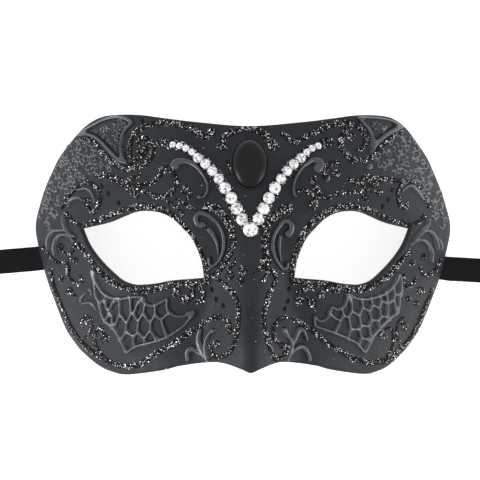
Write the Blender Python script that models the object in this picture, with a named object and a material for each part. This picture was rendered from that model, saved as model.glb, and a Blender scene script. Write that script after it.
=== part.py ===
"""Rhinestone half mask: a moulded shell with stucco relief, a cabochon, a V of stones and ribbon ties.

Metres, +Z up. The mask lies face up on its side edges: X runs across the face, Y up to the forehead
and Z out of the face. "left" is -X, as the front of the mask is seen. The origin is on the table,
under the middle of the part.

Forms on the shell are drawn on a front chart: u to the right and v down, CHART_SIZE units square, seen
from CHART_DISTANCE away and CHART_TURN round to the left. chart_to_plan() drops them onto the shell.
"""
from collections import namedtuple
import math

import bmesh
import bpy
import numpy as np
from mathutils import Vector
from mathutils.bvhtree import BVHTree
from mathutils.geometry import delaunay_2d_cdt

# Driving sizes
MASK_WIDTH = 0.190
MASK_HEIGHT = 0.1155
CROWN_RISE = 0.060
NOSE_RISE = 0.021
NOSE_HALF_WIDTH = 0.026
CORNER_LIFT = 0.028
SHELL_WALL = 0.0025
SECTION_FULLNESS = 0.25
SOCKET_DIP = 0.0035
SOCKET_HALF_WIDTH = 0.036
SOCKET_HALF_HEIGHT = 0.026
FLOOR_TRIM = 0.0003

RELIEF_RISE = 0.0013
GLITTER_RISE = 0.0005
RELIEF_SHOULDER = 0.5

CABOCHON_WIDTH = 0.0150
CABOCHON_LENGTH = 0.0212
CABOCHON_RISE = 0.0048
SEAT_BORDER = 0.0009
SEAT_RISE = 0.0010

STONE_CENTRE = 0.0060
STONE_LARGE = 0.0049
STONE_MEDIUM = 0.00415
STONE_SMALL = 0.00295
STONE_DEPTH_SHARE = 0.42
STONE_GIRDLE_SHARE = 0.35
STONE_TABLE_SHARE = 0.56

RIBBON_WIDTH = 0.011
RIBBON_THICKNESS = 0.001
RIBBON_TAIL = 0.020
RIBBON_GLUED_LENGTH = 0.014
RIBBON_CLEARANCE = 0.0005

GAP = 0.0003

# Fineness of the meshes
SHELL_GRID = 0.0056
RIM_SPACING = 0.0050
EYE_SPACING = 0.0042
RELIEF_SPACING = 5.5
GLITTER_SPACING = 8.5
SETTLE_ROUNDS = 8
SETTLE_SHARES = np.array([
    (a, b, 4 - a - b) for a in range(5) for b in range(5 - a)
]) / 4

# Front chart
CHART_SIZE = 480.0
CHART_MASK_WIDTH = 417.1
CHART_MASK_HEIGHT = 253.6
CHART_ORIGIN_U = 243.42
CHART_ORIGIN_V = 245.05
CHART_DISTANCE = 1.2
CHART_TURN = math.radians(2.65)

HALF_WIDTH = MASK_WIDTH / 2
HALF_HEIGHT = MASK_HEIGHT / 2
RIM_LEAN = 0.6
EDGE_ARCH = RIM_LEAN * SHELL_WALL + RIBBON_THICKNESS + 2 * RIBBON_CLEARANCE + FLOOR_TRIM

# Sections of the shell from the top down. up is a share of HALF_HEIGHT, crown of CROWN_RISE, nose of
# NOSE_RISE, nose_out of NOSE_HALF_WIDTH, edge_out of HALF_WIDTH, arch of EDGE_ARCH, lift of CORNER_LIFT.
Section = namedtuple("Section", "up crown nose nose_out edge_out arch lift")
SECTIONS = (
    Section(1.100, 0.800, 0.00, 0.60, 0.690, 0.00, 1.00),
    Section(0.950, 0.850, 0.00, 0.60, 0.765, 0.00, 0.72),
    Section(0.827, 0.895, 0.00, 0.60, 0.818, 0.00, 0.40),
    Section(0.723, 0.930, 0.00, 0.60, 0.871, 0.00, 0.20),
    Section(0.593, 0.965, 0.00, 0.60, 0.915, 0.00, 0.07),
    Section(0.449, 0.990, 0.00, 0.61, 0.954, 0.00, 0.00),
    Section(0.300, 1.000, 0.02, 0.63, 0.981, 0.30, 0.00),
    Section(0.143, 0.995, 0.10, 0.65, 0.999, 0.68, 0.00),
    Section(0.000, 0.975, 0.22, 0.68, 0.986, 0.95, 0.00),
    Section(-0.130, 0.950, 0.34, 0.72, 0.967, 1.00, 0.00),
    Section(-0.270, 0.920, 0.48, 0.78, 0.944, 0.95, 0.00),
    Section(-0.420, 0.890, 0.64, 0.85, 0.912, 0.62, 0.00),
    Section(-0.580, 0.860, 0.80, 0.93, 0.876, 0.22, 0.00),
    Section(-0.725, 0.830, 0.93, 1.00, 0.833, 0.00, 0.00),
    Section(-0.846, 0.805, 1.00, 1.00, 0.773, 0.00, 0.08),
    Section(-0.950, 0.785, 0.98, 1.00, 0.720, 0.00, 0.27),
    Section(-1.100, 0.755, 0.88, 1.00, 0.640, 0.00, 0.55),
)

# Right half of the outline: out is a share of HALF_WIDTH and up of HALF_HEIGHT. The side between the
# two runs follows edge_out of the sections from SIDE_TOP down to SIDE_FOOT.
Spot = namedtuple("Spot", "out up")
TOP_EDGE = (
    Spot(0.000, 0.906), Spot(0.235, 0.936), Spot(0.393, 0.969), Spot(0.482, 0.991), Spot(0.563, 1.000),
    Spot(0.661, 0.993), Spot(0.722, 0.958), Spot(0.778, 0.894),
)
SIDE_TOP = 0.827
SIDE_FOOT = -0.846
SIDE_STEPS = 22
FOOT_EDGE = (
    Spot(0.693, -0.946), Spot(0.623, -0.990), Spot(0.554, -1.000), Spot(0.395, -0.957),
    Spot(0.317, -0.922), Spot(0.172, -0.886), Spot(0.108, -0.896), Spot(0.045, -0.931),
    Spot(0.000, -0.958),
)

# Eye opening, in the same shares. Both lids run from the outer corner to the inner one.
UPPER_LID = (
    Spot(0.774, 0.126), Spot(0.651, 0.170), Spot(0.584, 0.213), Spot(0.526, 0.249), Spot(0.472, 0.258),
    Spot(0.411, 0.244), Spot(0.354, 0.199), Spot(0.304, 0.121), Spot(0.261, 0.036), Spot(0.223, -0.114),
    Spot(0.2095, -0.249),
)
LOWER_LID = (
    Spot(0.774, 0.126), Spot(0.742, 0.003), Spot(0.699, -0.097), Spot(0.644, -0.190),
    Spot(0.585, -0.270), Spot(0.531, -0.301), Spot(0.482, -0.300), Spot(0.428, -0.289),
    Spot(0.361, -0.268), Spot(0.283, -0.258), Spot(0.2095, -0.249),
)
SOCKET_CENTRE = Spot(0.490, -0.020)

# Line of the stones on the right half, from the centre stone up and out
STONE_LINE = (
    Spot(0.000, 0.116), Spot(0.036, 0.193), Spot(0.060, 0.275), Spot(0.085, 0.353), Spot(0.113, 0.428),
    Spot(0.141, 0.498), Spot(0.170, 0.557), Spot(0.202, 0.611), Spot(0.237, 0.658), Spot(0.262, 0.699),
    Spot(0.287, 0.728), Spot(0.318, 0.748), Spot(0.370, 0.757), Spot(0.420, 0.745),
)
LEFT_STONES = (STONE_LARGE,) * 4 + (STONE_MEDIUM,) * 4 + (STONE_SMALL,) * 4
RIGHT_STONES = LEFT_STONES[:-1]
CABOCHON_UP = 0.610

# Height of each ribbon's glued end and of its tail, as shares of HALF_HEIGHT
RibbonRun = namedtuple("RibbonRun", "side glued_up tail_up")
RIBBON_RUNS = {"ribbon_left": RibbonRun(-1, -0.108, -0.138), "ribbon_right": RibbonRun(1, -0.187, -0.209)}

# Raised figures on the chart. A stroke has its width at the start, middle and end; a dot its radius.
Stroke = namedtuple("Stroke", "start middle end points")
Dot = namedtuple("Dot", "u v radius")
Figure = namedtuple("Figure", "strokes dots")
Cell = namedtuple("Cell", "u v half_width half_length lean")
Panel = namedtuple("Panel", "edge cells")

SCROLLS = {
    "brow_scroll_left": Figure(
        (Stroke(4.2, 3.0, 2.4, ((174.2, 167.2), (174.8, 163.6), (179.1, 161.3), (185.4, 161.3),
                                (191.7, 163.4), (197.3, 167.6), (202.3, 173.9), (206.5, 181.0),
                                (207.9, 187.3), (206.5, 193.6), (203.7, 197.3), (200.0, 197.8))),),
        (Dot(175.6, 167.4, 3.0), Dot(199.6, 197.6, 2.3))),
    "brow_scroll_right": Figure(
        (Stroke(3.4, 3.0, 2.4, ((315.6, 168.6), (319.2, 171.0), (322.2, 168.3), (321.8, 162.6),
                                (317.2, 159.8), (311.6, 160.5), (307.3, 163.6), (303.1, 166.4),
                                (299.6, 171.1), (296.1, 176.8), (293.7, 183.1), (293.0, 188.7),
                                (293.7, 194.3), (295.4, 196.6))),),
        (Dot(316.4, 168.4, 2.4),)),
    "nose_scroll_left": Figure(
        (Stroke(3.0, 3.2, 3.0, ((202.0, 226.6), (197.6, 223.6), (195.8, 217.6), (199.5, 213.4),
                                (205.8, 214.2), (212.1, 218.2), (217.7, 223.4), (221.9, 230.2),
                                (224.0, 237.9), (224.4, 245.6), (223.3, 252.6), (219.8, 260.3),
                                (213.5, 265.9), (209.8, 263.4), (209.4, 258.2))),),
        (Dot(202.6, 226.2, 2.8),)),
    "nose_scroll_right": Figure(
        (Stroke(3.4, 3.2, 3.0, ((287.6, 237.4), (290.4, 231.6), (291.4, 225.4), (287.0, 221.2),
                                (282.4, 222.2), (278.6, 227.0), (275.4, 231.6), (273.0, 237.2),
                                (271.9, 244.2), (272.6, 251.9), (275.1, 259.6), (278.6, 265.2),
                                (282.1, 268.6), (286.0, 267.6), (287.0, 263.2))),),
        (Dot(287.8, 237.0, 2.8),)),
    "nose_leaf_left": Figure(
        (Stroke(4.4, 3.4, 1.6, ((209.6, 229.6), (213.2, 234.4), (216.4, 240.2), (218.4, 246.4),
                                (219.2, 254.4))),),
        ()),
    "nose_leaf_right": Figure(
        (Stroke(3.4, 3.0, 1.6, ((279.6, 236.4), (278.6, 243.5), (278.4, 250.5), (279.6, 261.0))),),
        ()),
    "chin_spray_left": Figure(
        (Stroke(6.0, 4.0, 2.6, ((201.4, 330.4), (199.6, 337.0), (200.2, 345.3), (202.6, 353.0),
                                (208.6, 360.2))),
         Stroke(2.2, 3.0, 2.6, ((212.2, 331.6), (207.6, 338.3), (206.0, 345.3), (206.6, 352.4),
                                (208.6, 360.2))),
         Stroke(3.2, 4.6, 2.0, ((187.6, 359.0), (187.8, 351.2), (191.8, 348.2), (196.8, 350.8),
                                (203.0, 354.6)))),
        (Dot(213.4, 330.8, 2.8),)),
    "chin_spray_right": Figure(
        (Stroke(2.6, 3.0, 3.2, ((284.9, 361.2), (288.2, 354.9), (290.7, 347.5), (290.4, 340.8),
                                (286.6, 335.9), (284.2, 330.6))),
         Stroke(2.0, 3.4, 3.4, ((290.8, 345.0), (294.6, 337.9), (298.0, 330.6), (301.6, 329.0),
                                (304.6, 333.4), (306.4, 339.5))),
         Stroke(2.0, 4.2, 3.0, ((289.4, 353.4), (294.6, 348.6), (300.6, 346.0), (305.2, 348.8),
                                (308.2, 354.0), (309.5, 359.2)))),
        (Dot(284.2, 330.6, 2.8),)),
    "temple_leaf_left": Figure(
        (Stroke(2.0, 3.4, 1.8, ((64.2, 216.6), (64.8, 223.2), (67.0, 229.5), (71.4, 234.4),
                                (76.4, 236.4))),
         Stroke(2.0, 3.0, 2.4, ((55.6, 254.4), (54.4, 247.7), (56.0, 240.7), (60.2, 235.6),
                                (66.0, 234.4), (71.2, 236.6), (74.6, 240.8))),
         Stroke(1.8, 2.8, 2.2, ((48.6, 249.4), (48.4, 242.1), (50.3, 235.6), (54.4, 231.4),
                                (59.6, 230.6), (66.4, 230.4)))),
        ()),
    "temple_leaf_right": Figure(
        (Stroke(1.8, 3.2, 2.4, ((428.3, 219.8), (426.2, 226.0), (421.8, 231.4), (416.8, 236.8),
                                (413.4, 241.6))),
         Stroke(2.0, 2.8, 1.8, ((422.4, 231.8), (428.5, 230.9), (432.9, 235.1), (435.6, 241.4),
                                (437.0, 248.6))),
         Stroke(1.8, 3.0, 2.0, ((409.4, 244.9), (413.4, 241.4), (419.4, 239.5), (425.0, 241.6),
                                (429.2, 247.7), (431.2, 254.7), (430.6, 261.2)))),
        ()),
}

PANELS = {
    "cheek_net_left": Panel(
        ((91.4, 270.6), (94.0, 269.4), (96.4, 272.8), (97.6, 279.4), (101.4, 286.4), (105.4, 291.6),
         (110.4, 295.0), (121.2, 296.8), (130.0, 295.4), (139.0, 294.8), (144.8, 296.0),
         (146.2, 301.6), (153.6, 303.6), (159.6, 301.0), (167.4, 297.0), (169.4, 299.0),
         (169.6, 308.6), (174.2, 313.4), (183.0, 314.2), (192.6, 310.2), (195.4, 312.6),
         (190.6, 320.8), (183.6, 328.0), (169.3, 337.6), (154.6, 343.0), (137.0, 347.6),
         (127.2, 353.4), (121.2, 343.0), (113.6, 329.6), (104.8, 321.6), (100.8, 313.6),
         (98.8, 303.4), (95.0, 295.4), (93.8, 284.4), (92.4, 276.0)),
        (Cell(104.6, 311.3, 2.7, 7.4, 4), Cell(110.0, 303.0, 2.0, 4.6, 18),
         Cell(101.8, 294.6, 1.0, 4.4, 24), Cell(115.3, 312.8, 3.0, 9.0, 0),
         Cell(111.0, 319.4, 2.0, 5.2, 26), Cell(126.8, 310.4, 3.5, 9.6, 0),
         Cell(121.6, 325.4, 3.7, 8.4, 6), Cell(133.2, 324.8, 3.8, 9.4, 4),
         Cell(134.8, 304.6, 1.7, 5.8, 8), Cell(129.4, 341.0, 3.6, 7.8, 6),
         Cell(139.2, 311.4, 2.6, 6.4, 10), Cell(144.9, 325.9, 4.2, 10.2, 4),
         Cell(149.8, 313.4, 3.4, 6.2, 6), Cell(161.6, 311.4, 3.2, 6.6, 10),
         Cell(157.6, 325.8, 4.0, 9.0, 4), Cell(139.6, 339.0, 3.4, 4.8, 20),
         Cell(150.6, 336.8, 3.0, 3.8, 40), Cell(171.8, 324.2, 4.4, 9.0, -56))),
    "cheek_net_right": Panel(
        ((312.4, 316.0), (315.4, 314.6), (318.4, 318.4), (323.2, 318.4), (326.8, 314.4),
         (328.6, 308.4), (331.8, 304.6), (336.4, 307.4), (341.2, 305.6), (344.0, 300.8),
         (345.4, 293.4), (349.6, 292.6), (355.5, 296.2), (362.5, 297.2), (370.0, 296.4),
         (382.0, 292.4), (390.2, 285.8), (394.6, 279.4), (397.4, 272.4), (401.6, 276.4),
         (402.0, 289.0), (400.0, 298.0), (399.4, 306.0), (396.6, 313.8), (390.8, 318.2),
         (381.0, 328.0), (372.0, 338.4), (369.6, 345.0), (364.4, 353.4), (359.6, 349.4),
         (354.6, 343.8), (345.0, 339.0), (333.0, 333.8), (315.0, 327.4), (312.4, 323.6)),
        (Cell(329.8, 323.2, 3.6, 7.4, 72), Cell(337.4, 314.6, 2.6, 3.4, 0),
         Cell(343.6, 325.8, 3.6, 8.0, 8), Cell(346.8, 308.6, 2.3, 5.4, 8),
         Cell(355.8, 306.4, 3.6, 6.8, -4), Cell(353.6, 320.4, 3.5, 7.8, -6),
         Cell(354.8, 335.4, 3.2, 6.4, -8), Cell(366.2, 303.8, 2.6, 4.6, -10),
         Cell(364.0, 317.2, 3.6, 7.8, -6), Cell(364.4, 331.6, 3.4, 6.0, -4),
         Cell(363.4, 344.0, 3.0, 5.6, -4), Cell(375.6, 301.4, 2.4, 4.4, -14),
         Cell(374.2, 312.8, 3.2, 6.2, -4), Cell(373.0, 326.8, 3.0, 6.4, 12),
         Cell(383.2, 297.8, 1.6, 3.2, -18), Cell(382.6, 308.6, 2.7, 6.4, -2),
         Cell(381.8, 321.0, 2.2, 4.4, 24), Cell(389.4, 294.6, 1.8, 5.6, 14),
         Cell(390.4, 308.4, 2.4, 6.6, 6), Cell(396.4, 285.6, 2.2, 6.4, 8),
         Cell(396.2, 300.6, 1.5, 4.6, 4))),
    "corner_panel_left": Panel(
        ((134.6, 122.6), (127.6, 117.6), (115.5, 115.9), (104.5, 118.1), (93.4, 123.6),
         (83.2, 129.6), (78.4, 134.4), (80.6, 137.2), (87.5, 135.9), (93.8, 138.2), (99.8, 142.4),
         (106.8, 150.2), (113.9, 157.8), (120.5, 163.4), (128.8, 164.4), (124.6, 154.8),
         (123.2, 147.2), (123.8, 139.9), (126.2, 133.0), (130.2, 128.2)),
        (((129.4, 122.6), (118.5, 119.2), (106.0, 121.4), (95.8, 126.4), (88.2, 131.0), (95.0, 133.6),
          (102.0, 138.4), (109.1, 146.1), (116.0, 153.6), (120.4, 157.4), (120.2, 147.4),
          (121.0, 139.2), (123.2, 131.4), (126.4, 126.6)),)),
    "corner_panel_right": Panel(
        ((357.6, 117.0), (372.0, 116.8), (386.5, 118.4), (397.0, 122.4), (402.6, 127.2), (399.0, 129.4),
         (393.5, 132.4), (388.0, 135.9), (382.3, 140.2), (376.7, 146.0), (370.9, 154.4),
         (370.4, 146.0), (370.2, 139.4), (367.8, 133.4), (364.4, 128.2), (360.0, 123.5)),
        (((363.0, 120.0), (372.0, 119.2), (386.0, 120.8), (394.2, 124.6), (391.0, 127.4),
          (386.0, 130.4), (380.3, 134.8), (375.6, 139.2), (373.4, 138.6), (371.3, 131.9),
          (367.8, 126.2)),)),
}

GLITTER = {
    "glitter_eye_left": Figure(
        (Stroke(3.0, 4.4, 4.4, ((66.6, 213.6), (71.9, 220.6), (79.6, 225.0), (91.8, 222.8),
                                (105.6, 217.4), (119.4, 211.3), (131.6, 207.5), (145.4, 206.2),
                                (160.7, 209.0), (173.0, 216.6), (183.7, 227.2), (191.8, 238.0),
                                (198.6, 250.0), (204.4, 263.0), (207.8, 276.4), (206.6, 282.2))),
         Stroke(4.4, 4.6, 3.0, ((206.6, 282.2), (199.0, 284.0), (183.7, 284.2), (168.4, 286.0),
                                (153.0, 289.4), (142.4, 290.6), (131.6, 290.0), (117.6, 285.6),
                                (105.4, 276.8), (95.8, 267.0), (88.6, 256.6), (82.4, 249.6),
                                (77.4, 244.6), (73.4, 247.4)))),
        ()),
    "glitter_eye_right": Figure(
        (Stroke(4.4, 4.4, 3.0, ((293.0, 281.6), (292.6, 271.0), (295.0, 257.0), (299.6, 243.0),
                                (306.2, 230.2), (315.6, 219.4), (326.6, 212.0), (339.5, 207.0),
                                (353.3, 206.0), (367.0, 209.2), (377.8, 214.4), (388.5, 219.0),
                                (402.3, 222.6), (411.4, 225.0), (419.4, 221.4), (424.8, 215.6))),
         Stroke(4.4, 4.6, 3.0, ((293.0, 281.6), (304.3, 283.0), (319.6, 284.0), (334.9, 286.4),
                                (350.2, 289.4), (362.5, 289.4), (374.7, 285.0), (386.0, 277.4),
                                (395.0, 268.2), (404.0, 257.0), (410.6, 250.6)))),
        ()),
    "glitter_cheek_left": Figure(
        (Stroke(2.4, 4.0, 4.2, ((50.6, 270.6), (55.0, 289.6), (62.8, 309.5), (70.8, 327.0),
                                (81.0, 341.4), (93.4, 352.4), (107.9, 361.0), (119.8, 365.6),
                                (134.7, 366.0), (147.4, 360.0), (159.6, 351.6), (173.0, 344.1),
                                (185.2, 335.5), (195.4, 328.2), (206.6, 320.8), (219.4, 316.8),
                                (227.6, 321.4), (229.4, 331.6))),),
        ()),
    "glitter_cheek_right": Figure(
        (Stroke(3.0, 4.2, 2.4, ((292.0, 318.9), (304.3, 325.0), (313.1, 331.3), (323.8, 340.5),
                                (334.7, 348.0), (346.7, 355.0), (359.4, 360.4), (371.6, 362.8),
                                (383.5, 361.3), (392.6, 356.6), (401.6, 347.8), (407.9, 341.6),
                                (413.8, 333.0), (419.2, 321.6), (423.8, 310.0), (428.2, 299.6),
                                (432.0, 289.4))),),
        ()),
    "glitter_forehead_left": Figure(
        (Stroke(3.0, 4.2, 4.0, ((80.4, 139.6), (88.0, 139.2), (94.6, 143.0), (99.6, 149.6),
                                (107.2, 158.0), (115.6, 164.8), (124.4, 168.4), (133.4, 168.4),
                                (142.6, 165.4), (149.6, 159.2), (152.6, 151.0), (150.8, 142.6),
                                (145.0, 138.0), (138.6, 139.4))),
         Stroke(3.4, 4.0, 4.6, ((131.6, 167.6), (129.6, 151.0), (131.8, 137.0), (140.0, 129.4),
                                (149.6, 124.6), (160.6, 122.8), (174.0, 123.6), (188.3, 128.1),
                                (198.0, 133.4), (205.2, 136.4), (210.8, 132.6)))),
        (Dot(211.0, 132.4, 4.6),)),
    "glitter_forehead_right": Figure(
        (Stroke(3.4, 4.2, 3.4, ((282.2, 133.4), (287.5, 137.6), (293.6, 142.0), (301.2, 138.8),
                                (311.9, 134.0), (324.2, 128.3), (336.4, 123.3), (347.8, 122.1),
                                (356.4, 125.3), (363.0, 131.4), (365.8, 139.6), (364.0, 146.6),
                                (358.4, 150.4))),
         Stroke(3.8, 4.0, 3.0, ((352.4, 123.4), (343.7, 133.9), (340.3, 143.6), (344.1, 152.4),
                                (350.6, 158.6), (359.4, 161.0), (368.4, 159.2), (375.8, 153.8),
                                (380.8, 147.2), (387.4, 140.8), (394.6, 134.8), (402.0, 131.9)))),
        ()),
    "glitter_nose_left": Figure(
        (Stroke(6.4, 4.6, 4.0, ((207.8, 207.4), (215.4, 208.2), (223.6, 215.6), (229.6, 226.8),
                                (232.7, 238.5), (231.9, 249.3), (227.1, 259.1), (221.0, 268.6),
                                (214.4, 275.6))),),
        (Dot(208.4, 207.4, 5.2),)),
    "glitter_nose_right": Figure(
        (Stroke(6.4, 4.8, 4.0, ((289.6, 208.6), (281.6, 210.6), (272.6, 217.8), (266.6, 226.8),
                                (265.0, 238.6), (265.2, 250.4), (266.2, 259.6), (268.0, 268.4),
                                (275.6, 275.4))),),
        (Dot(288.6, 208.8, 5.2), Dot(266.0, 262.0, 5.6))),
    "glitter_arc": Figure(
        (Stroke(6.0, 3.8, 6.0, ((221.4, 146.6), (224.6, 138.4), (231.6, 132.4), (240.4, 129.6),
                                (249.8, 129.2), (259.8, 131.8), (268.0, 137.6), (273.8, 147.0))),),
        (Dot(221.8, 145.6, 5.0), Dot(273.6, 146.4, 5.0))),
}
STONE_BED_MARGIN = 0.0007


def natural_spline(knots, values):
    """Return a function through the knots, smooth in slope and curvature."""
    order = np.argsort(knots)
    knot = np.asarray(knots, float)[order]
    value = np.asarray(values, float)[order]
    step = np.diff(knot)
    slope = np.diff(value) / step
    count = len(knot)
    system = np.eye(count)
    load = np.zeros(count)
    for i in range(1, count - 1):
        system[i, i - 1:i + 2] = step[i - 1], 2 * (step[i - 1] + step[i]), step[i]
        load[i] = 6 * (slope[i] - slope[i - 1])
    bend = np.linalg.solve(system, load)

    def curve(at):
        at = np.clip(at, knot[0], knot[-1])
        i = np.clip(np.searchsorted(knot, at) - 1, 0, count - 2)
        before = (knot[i + 1] - at) / step[i]
        after = 1 - before
        cubic = (before ** 3 - before) * bend[i] + (after ** 3 - after) * bend[i + 1]
        return before * value[i] + after * value[i + 1] + cubic * step[i] ** 2 / 6

    return curve


SECTION_CURVES = {
    column: natural_spline([row.up for row in SECTIONS], [getattr(row, column) for row in SECTIONS])
    for column in Section._fields[1:]
}


def side_edge(y):
    """Half width of the shell at height y."""
    return SECTION_CURVES["edge_out"](y / HALF_HEIGHT) * HALF_WIDTH


def shell_height(x, y):
    """Height of the shell's front face over the plan point x, y."""
    up = y / HALF_HEIGHT
    rim = SECTION_CURVES["arch"](up) * EDGE_ARCH + SECTION_CURVES["lift"](up) * CORNER_LIFT - FLOOR_TRIM
    across = np.abs(x) / side_edge(y)
    fall = (1 - SECTION_FULLNESS) * across ** 2 + SECTION_FULLNESS * across ** 4
    height = rim + (SECTION_CURVES["crown"](up) * CROWN_RISE - rim) * (1 - fall)
    nose_across = np.abs(x) / (SECTION_CURVES["nose_out"](up) * NOSE_HALF_WIDTH)
    height = height + SECTION_CURVES["nose"](up) * NOSE_RISE * (1 - np.minimum(nose_across, 1) ** 2) ** 3
    socket_x = (np.abs(x) - SOCKET_CENTRE.out * HALF_WIDTH) / SOCKET_HALF_WIDTH
    socket_y = (y - SOCKET_CENTRE.up * HALF_HEIGHT) / SOCKET_HALF_HEIGHT
    reach = np.minimum(socket_x ** 2 + socket_y ** 2, 1)
    return height - SOCKET_DIP * (1 - reach) ** 2


def shell_normals(x, y):
    """Unit normals of the front face at plan points."""
    probe = 1e-5
    slope_x = (shell_height(x + probe, y) - shell_height(x - probe, y)) / (2 * probe)
    slope_y = (shell_height(x, y + probe) - shell_height(x, y - probe)) / (2 * probe)
    normals = np.stack([-slope_x, -slope_y, np.ones_like(slope_x)], axis=-1)
    return normals / np.linalg.norm(normals, axis=-1, keepdims=True)


def over_shell(plan, lift):
    """Points that stand lift above the front face, along its normal."""
    x, y = plan[:, 0], plan[:, 1]
    ground = np.stack([x, y, shell_height(x, y)], axis=-1)
    return ground + shell_normals(x, y) * np.reshape(lift, (-1, 1))


def chart_to_plan(points):
    """Plan points of the shell's front face seen at chart positions u, v."""
    points = np.asarray(points, float)
    unit_x = MASK_WIDTH / CHART_MASK_WIDTH
    unit_y = MASK_HEIGHT / CHART_MASK_HEIGHT
    middle = CHART_SIZE / 2
    axis_x = (middle - CHART_ORIGIN_U) * unit_x
    axis_y = (CHART_ORIGIN_V - middle) * unit_y
    x = np.zeros(len(points))
    y = np.zeros(len(points))
    for _ in range(16):
        z = shell_height(x, y)
        toward = z * math.cos(CHART_TURN) - (x - axis_x) * math.sin(CHART_TURN)
        shrink = 1 - toward / CHART_DISTANCE
        aside = (points[:, 0] - middle) * unit_x * shrink - z * math.sin(CHART_TURN)
        x = axis_x + aside / math.cos(CHART_TURN)
        y = axis_y + (middle - points[:, 1]) * unit_y * shrink
    return np.stack([x, y], axis=-1)


def smooth_path(points, spacing, closed=False):
    """Evenly spaced points along a Catmull-Rom curve through the given ones."""
    knots = np.asarray(points, float)
    if closed:
        knots = np.vstack([knots[-1], knots, knots[0], knots[1]])
    else:
        knots = np.vstack([2 * knots[0] - knots[1], knots, 2 * knots[-1] - knots[-2]])
    share = np.linspace(0, 1, 12, endpoint=False)[:, None]
    dense = []
    for a, b, c, d in zip(knots, knots[1:], knots[2:], knots[3:]):
        curve = 2 * b + (c - a) * share + (2 * a - 5 * b + 4 * c - d) * share ** 2
        dense.append((curve + (3 * b - a - 3 * c + d) * share ** 3) / 2)
    dense.append(knots[-2:-1])
    dense = np.vstack(dense)
    travelled = np.concatenate([[0], np.cumsum(np.linalg.norm(np.diff(dense, axis=0), axis=1))])
    count = max(2, round(travelled[-1] / spacing))
    stops = np.linspace(0, travelled[-1], count + 1)
    path = np.stack([np.interp(stops, travelled, column) for column in dense.T], axis=-1)
    return path[:-1] if closed else path


def shares_to_plan(spots, side=1):
    """Plan points of a table of shares, on the right half or mirrored to the left."""
    return np.array([(side * spot.out * HALF_WIDTH, spot.up * HALF_HEIGHT) for spot in spots])


def outline_loop():
    """Plan points round the shell's outer edge."""
    heights = np.linspace(SIDE_TOP, SIDE_FOOT, SIDE_STEPS) * HALF_HEIGHT
    side_run = np.stack([side_edge(heights), heights], axis=-1)
    half = np.vstack([shares_to_plan(TOP_EDGE), side_run, shares_to_plan(FOOT_EDGE)])
    mirrored = half[-2:0:-1] * (-1, 1)
    return smooth_path(np.vstack([half, mirrored]), RIM_SPACING, closed=True)


def eye_loop(side):
    """Plan points round one eye opening, with its two corners kept sharp."""
    upper = smooth_path(shares_to_plan(UPPER_LID, side), EYE_SPACING)
    lower = smooth_path(shares_to_plan(LOWER_LID, side), EYE_SPACING)
    return np.vstack([upper, lower[-2:0:-1]])


def inside_loop(points, loop):
    """Mask of the points that lie inside a closed loop."""
    inside = np.zeros(len(points), bool)
    for (ax, ay), (bx, by) in zip(loop, np.roll(loop, -1, axis=0)):
        crosses = (ay > points[:, 1]) != (by > points[:, 1])
        at = ax + (points[:, 1] - ay) * (bx - ax) / (by - ay if by != ay else 1)
        inside ^= crosses & (points[:, 0] < at)
    return inside


def near_loop(points, loop, distance):
    """Mask of the points within a distance of a loop's corners."""
    gaps = np.linalg.norm(points[:, None, :] - loop[None, :, :], axis=2)
    return gaps.min(axis=1) < distance


def triangulate(loops, spots, tolerance):
    """Triangles over the loops and loose spots, with the loops that hold each triangle."""
    coords, faces = [], []
    for loop in loops:
        beyond = np.roll(loop, -1, axis=0)
        clockwise = np.sum(loop[:, 0] * beyond[:, 1] - beyond[:, 0] * loop[:, 1]) < 0
        faces.append(list(range(len(coords), len(coords) + len(loop))))
        coords.extend(map(tuple, loop[::-1] if clockwise else loop))
    coords.extend(map(tuple, spots))
    vectors = [Vector(point) for point in coords]
    points, _, triangles, _, _, held_by = delaunay_2d_cdt(vectors, [], faces, 0, tolerance, True)
    return np.array([tuple(point) for point in points]), triangles, held_by


def material(name, colour, roughness, metallic=0.0):
    """Principled material with a plain colour."""
    made = bpy.data.materials.new(name)
    made.use_nodes = True
    shader = made.node_tree.nodes["Principled BSDF"]
    shader.inputs["Base Color"].default_value = (*colour, 1.0)
    shader.inputs["Roughness"].default_value = roughness
    shader.inputs["Metallic"].default_value = metallic
    return made


def new_object(name, vertices, faces, finish, smooth_angle=None):
    """Object with the given mesh and material."""
    mesh = bpy.data.meshes.new(name)
    mesh.from_pydata([tuple(vertex) for vertex in vertices], [], [list(face) for face in faces])
    mesh.materials.append(finish)
    mesh.update()
    if smooth_angle is not None:
        mesh.shade_smooth()
        mesh.set_sharp_from_angle(angle=smooth_angle)
    made = bpy.data.objects.new(name, mesh)
    bpy.context.scene.collection.objects.link(made)
    return made


class Ground:
    """Faceted faces that pieces laid later stay clear of."""

    def __init__(self):
        self.trees = []

    def add(self, vertices, faces):
        """Count these faces as ground from now on."""
        self.trees.append(BVHTree.FromPolygons([tuple(v) for v in vertices], [tuple(f) for f in faces]))

    def shortfall(self, points, clearance):
        """How far the worst of the points is short of the clearance."""
        worst = 0.0
        for point in points:
            above = Vector(point) + Vector((0, 0, MASK_HEIGHT))
            for tree in self.trees:
                spot, normal, _, _ = tree.ray_cast(above, Vector((0, 0, -1)))
                if spot is not None:
                    worst = max(worst, clearance - (point[2] - spot.z) * abs(normal.z))
        return worst


def settled_lift(plan, triangles, ground):
    """Lift of each point that keeps a plate's underside a gap over the ground."""
    lift = np.full(len(plan), GAP)
    for _ in range(SETTLE_ROUNDS):
        corners = over_shell(plan, lift)
        climb = np.zeros(len(plan))
        for triangle in triangles:
            short = ground.shortfall(SETTLE_SHARES @ corners[list(triangle)], GAP)
            for index in triangle:
                climb[index] = max(climb[index], short)
        if climb.max() < GAP / 100:
            break
        lift += climb
    return lift


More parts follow.
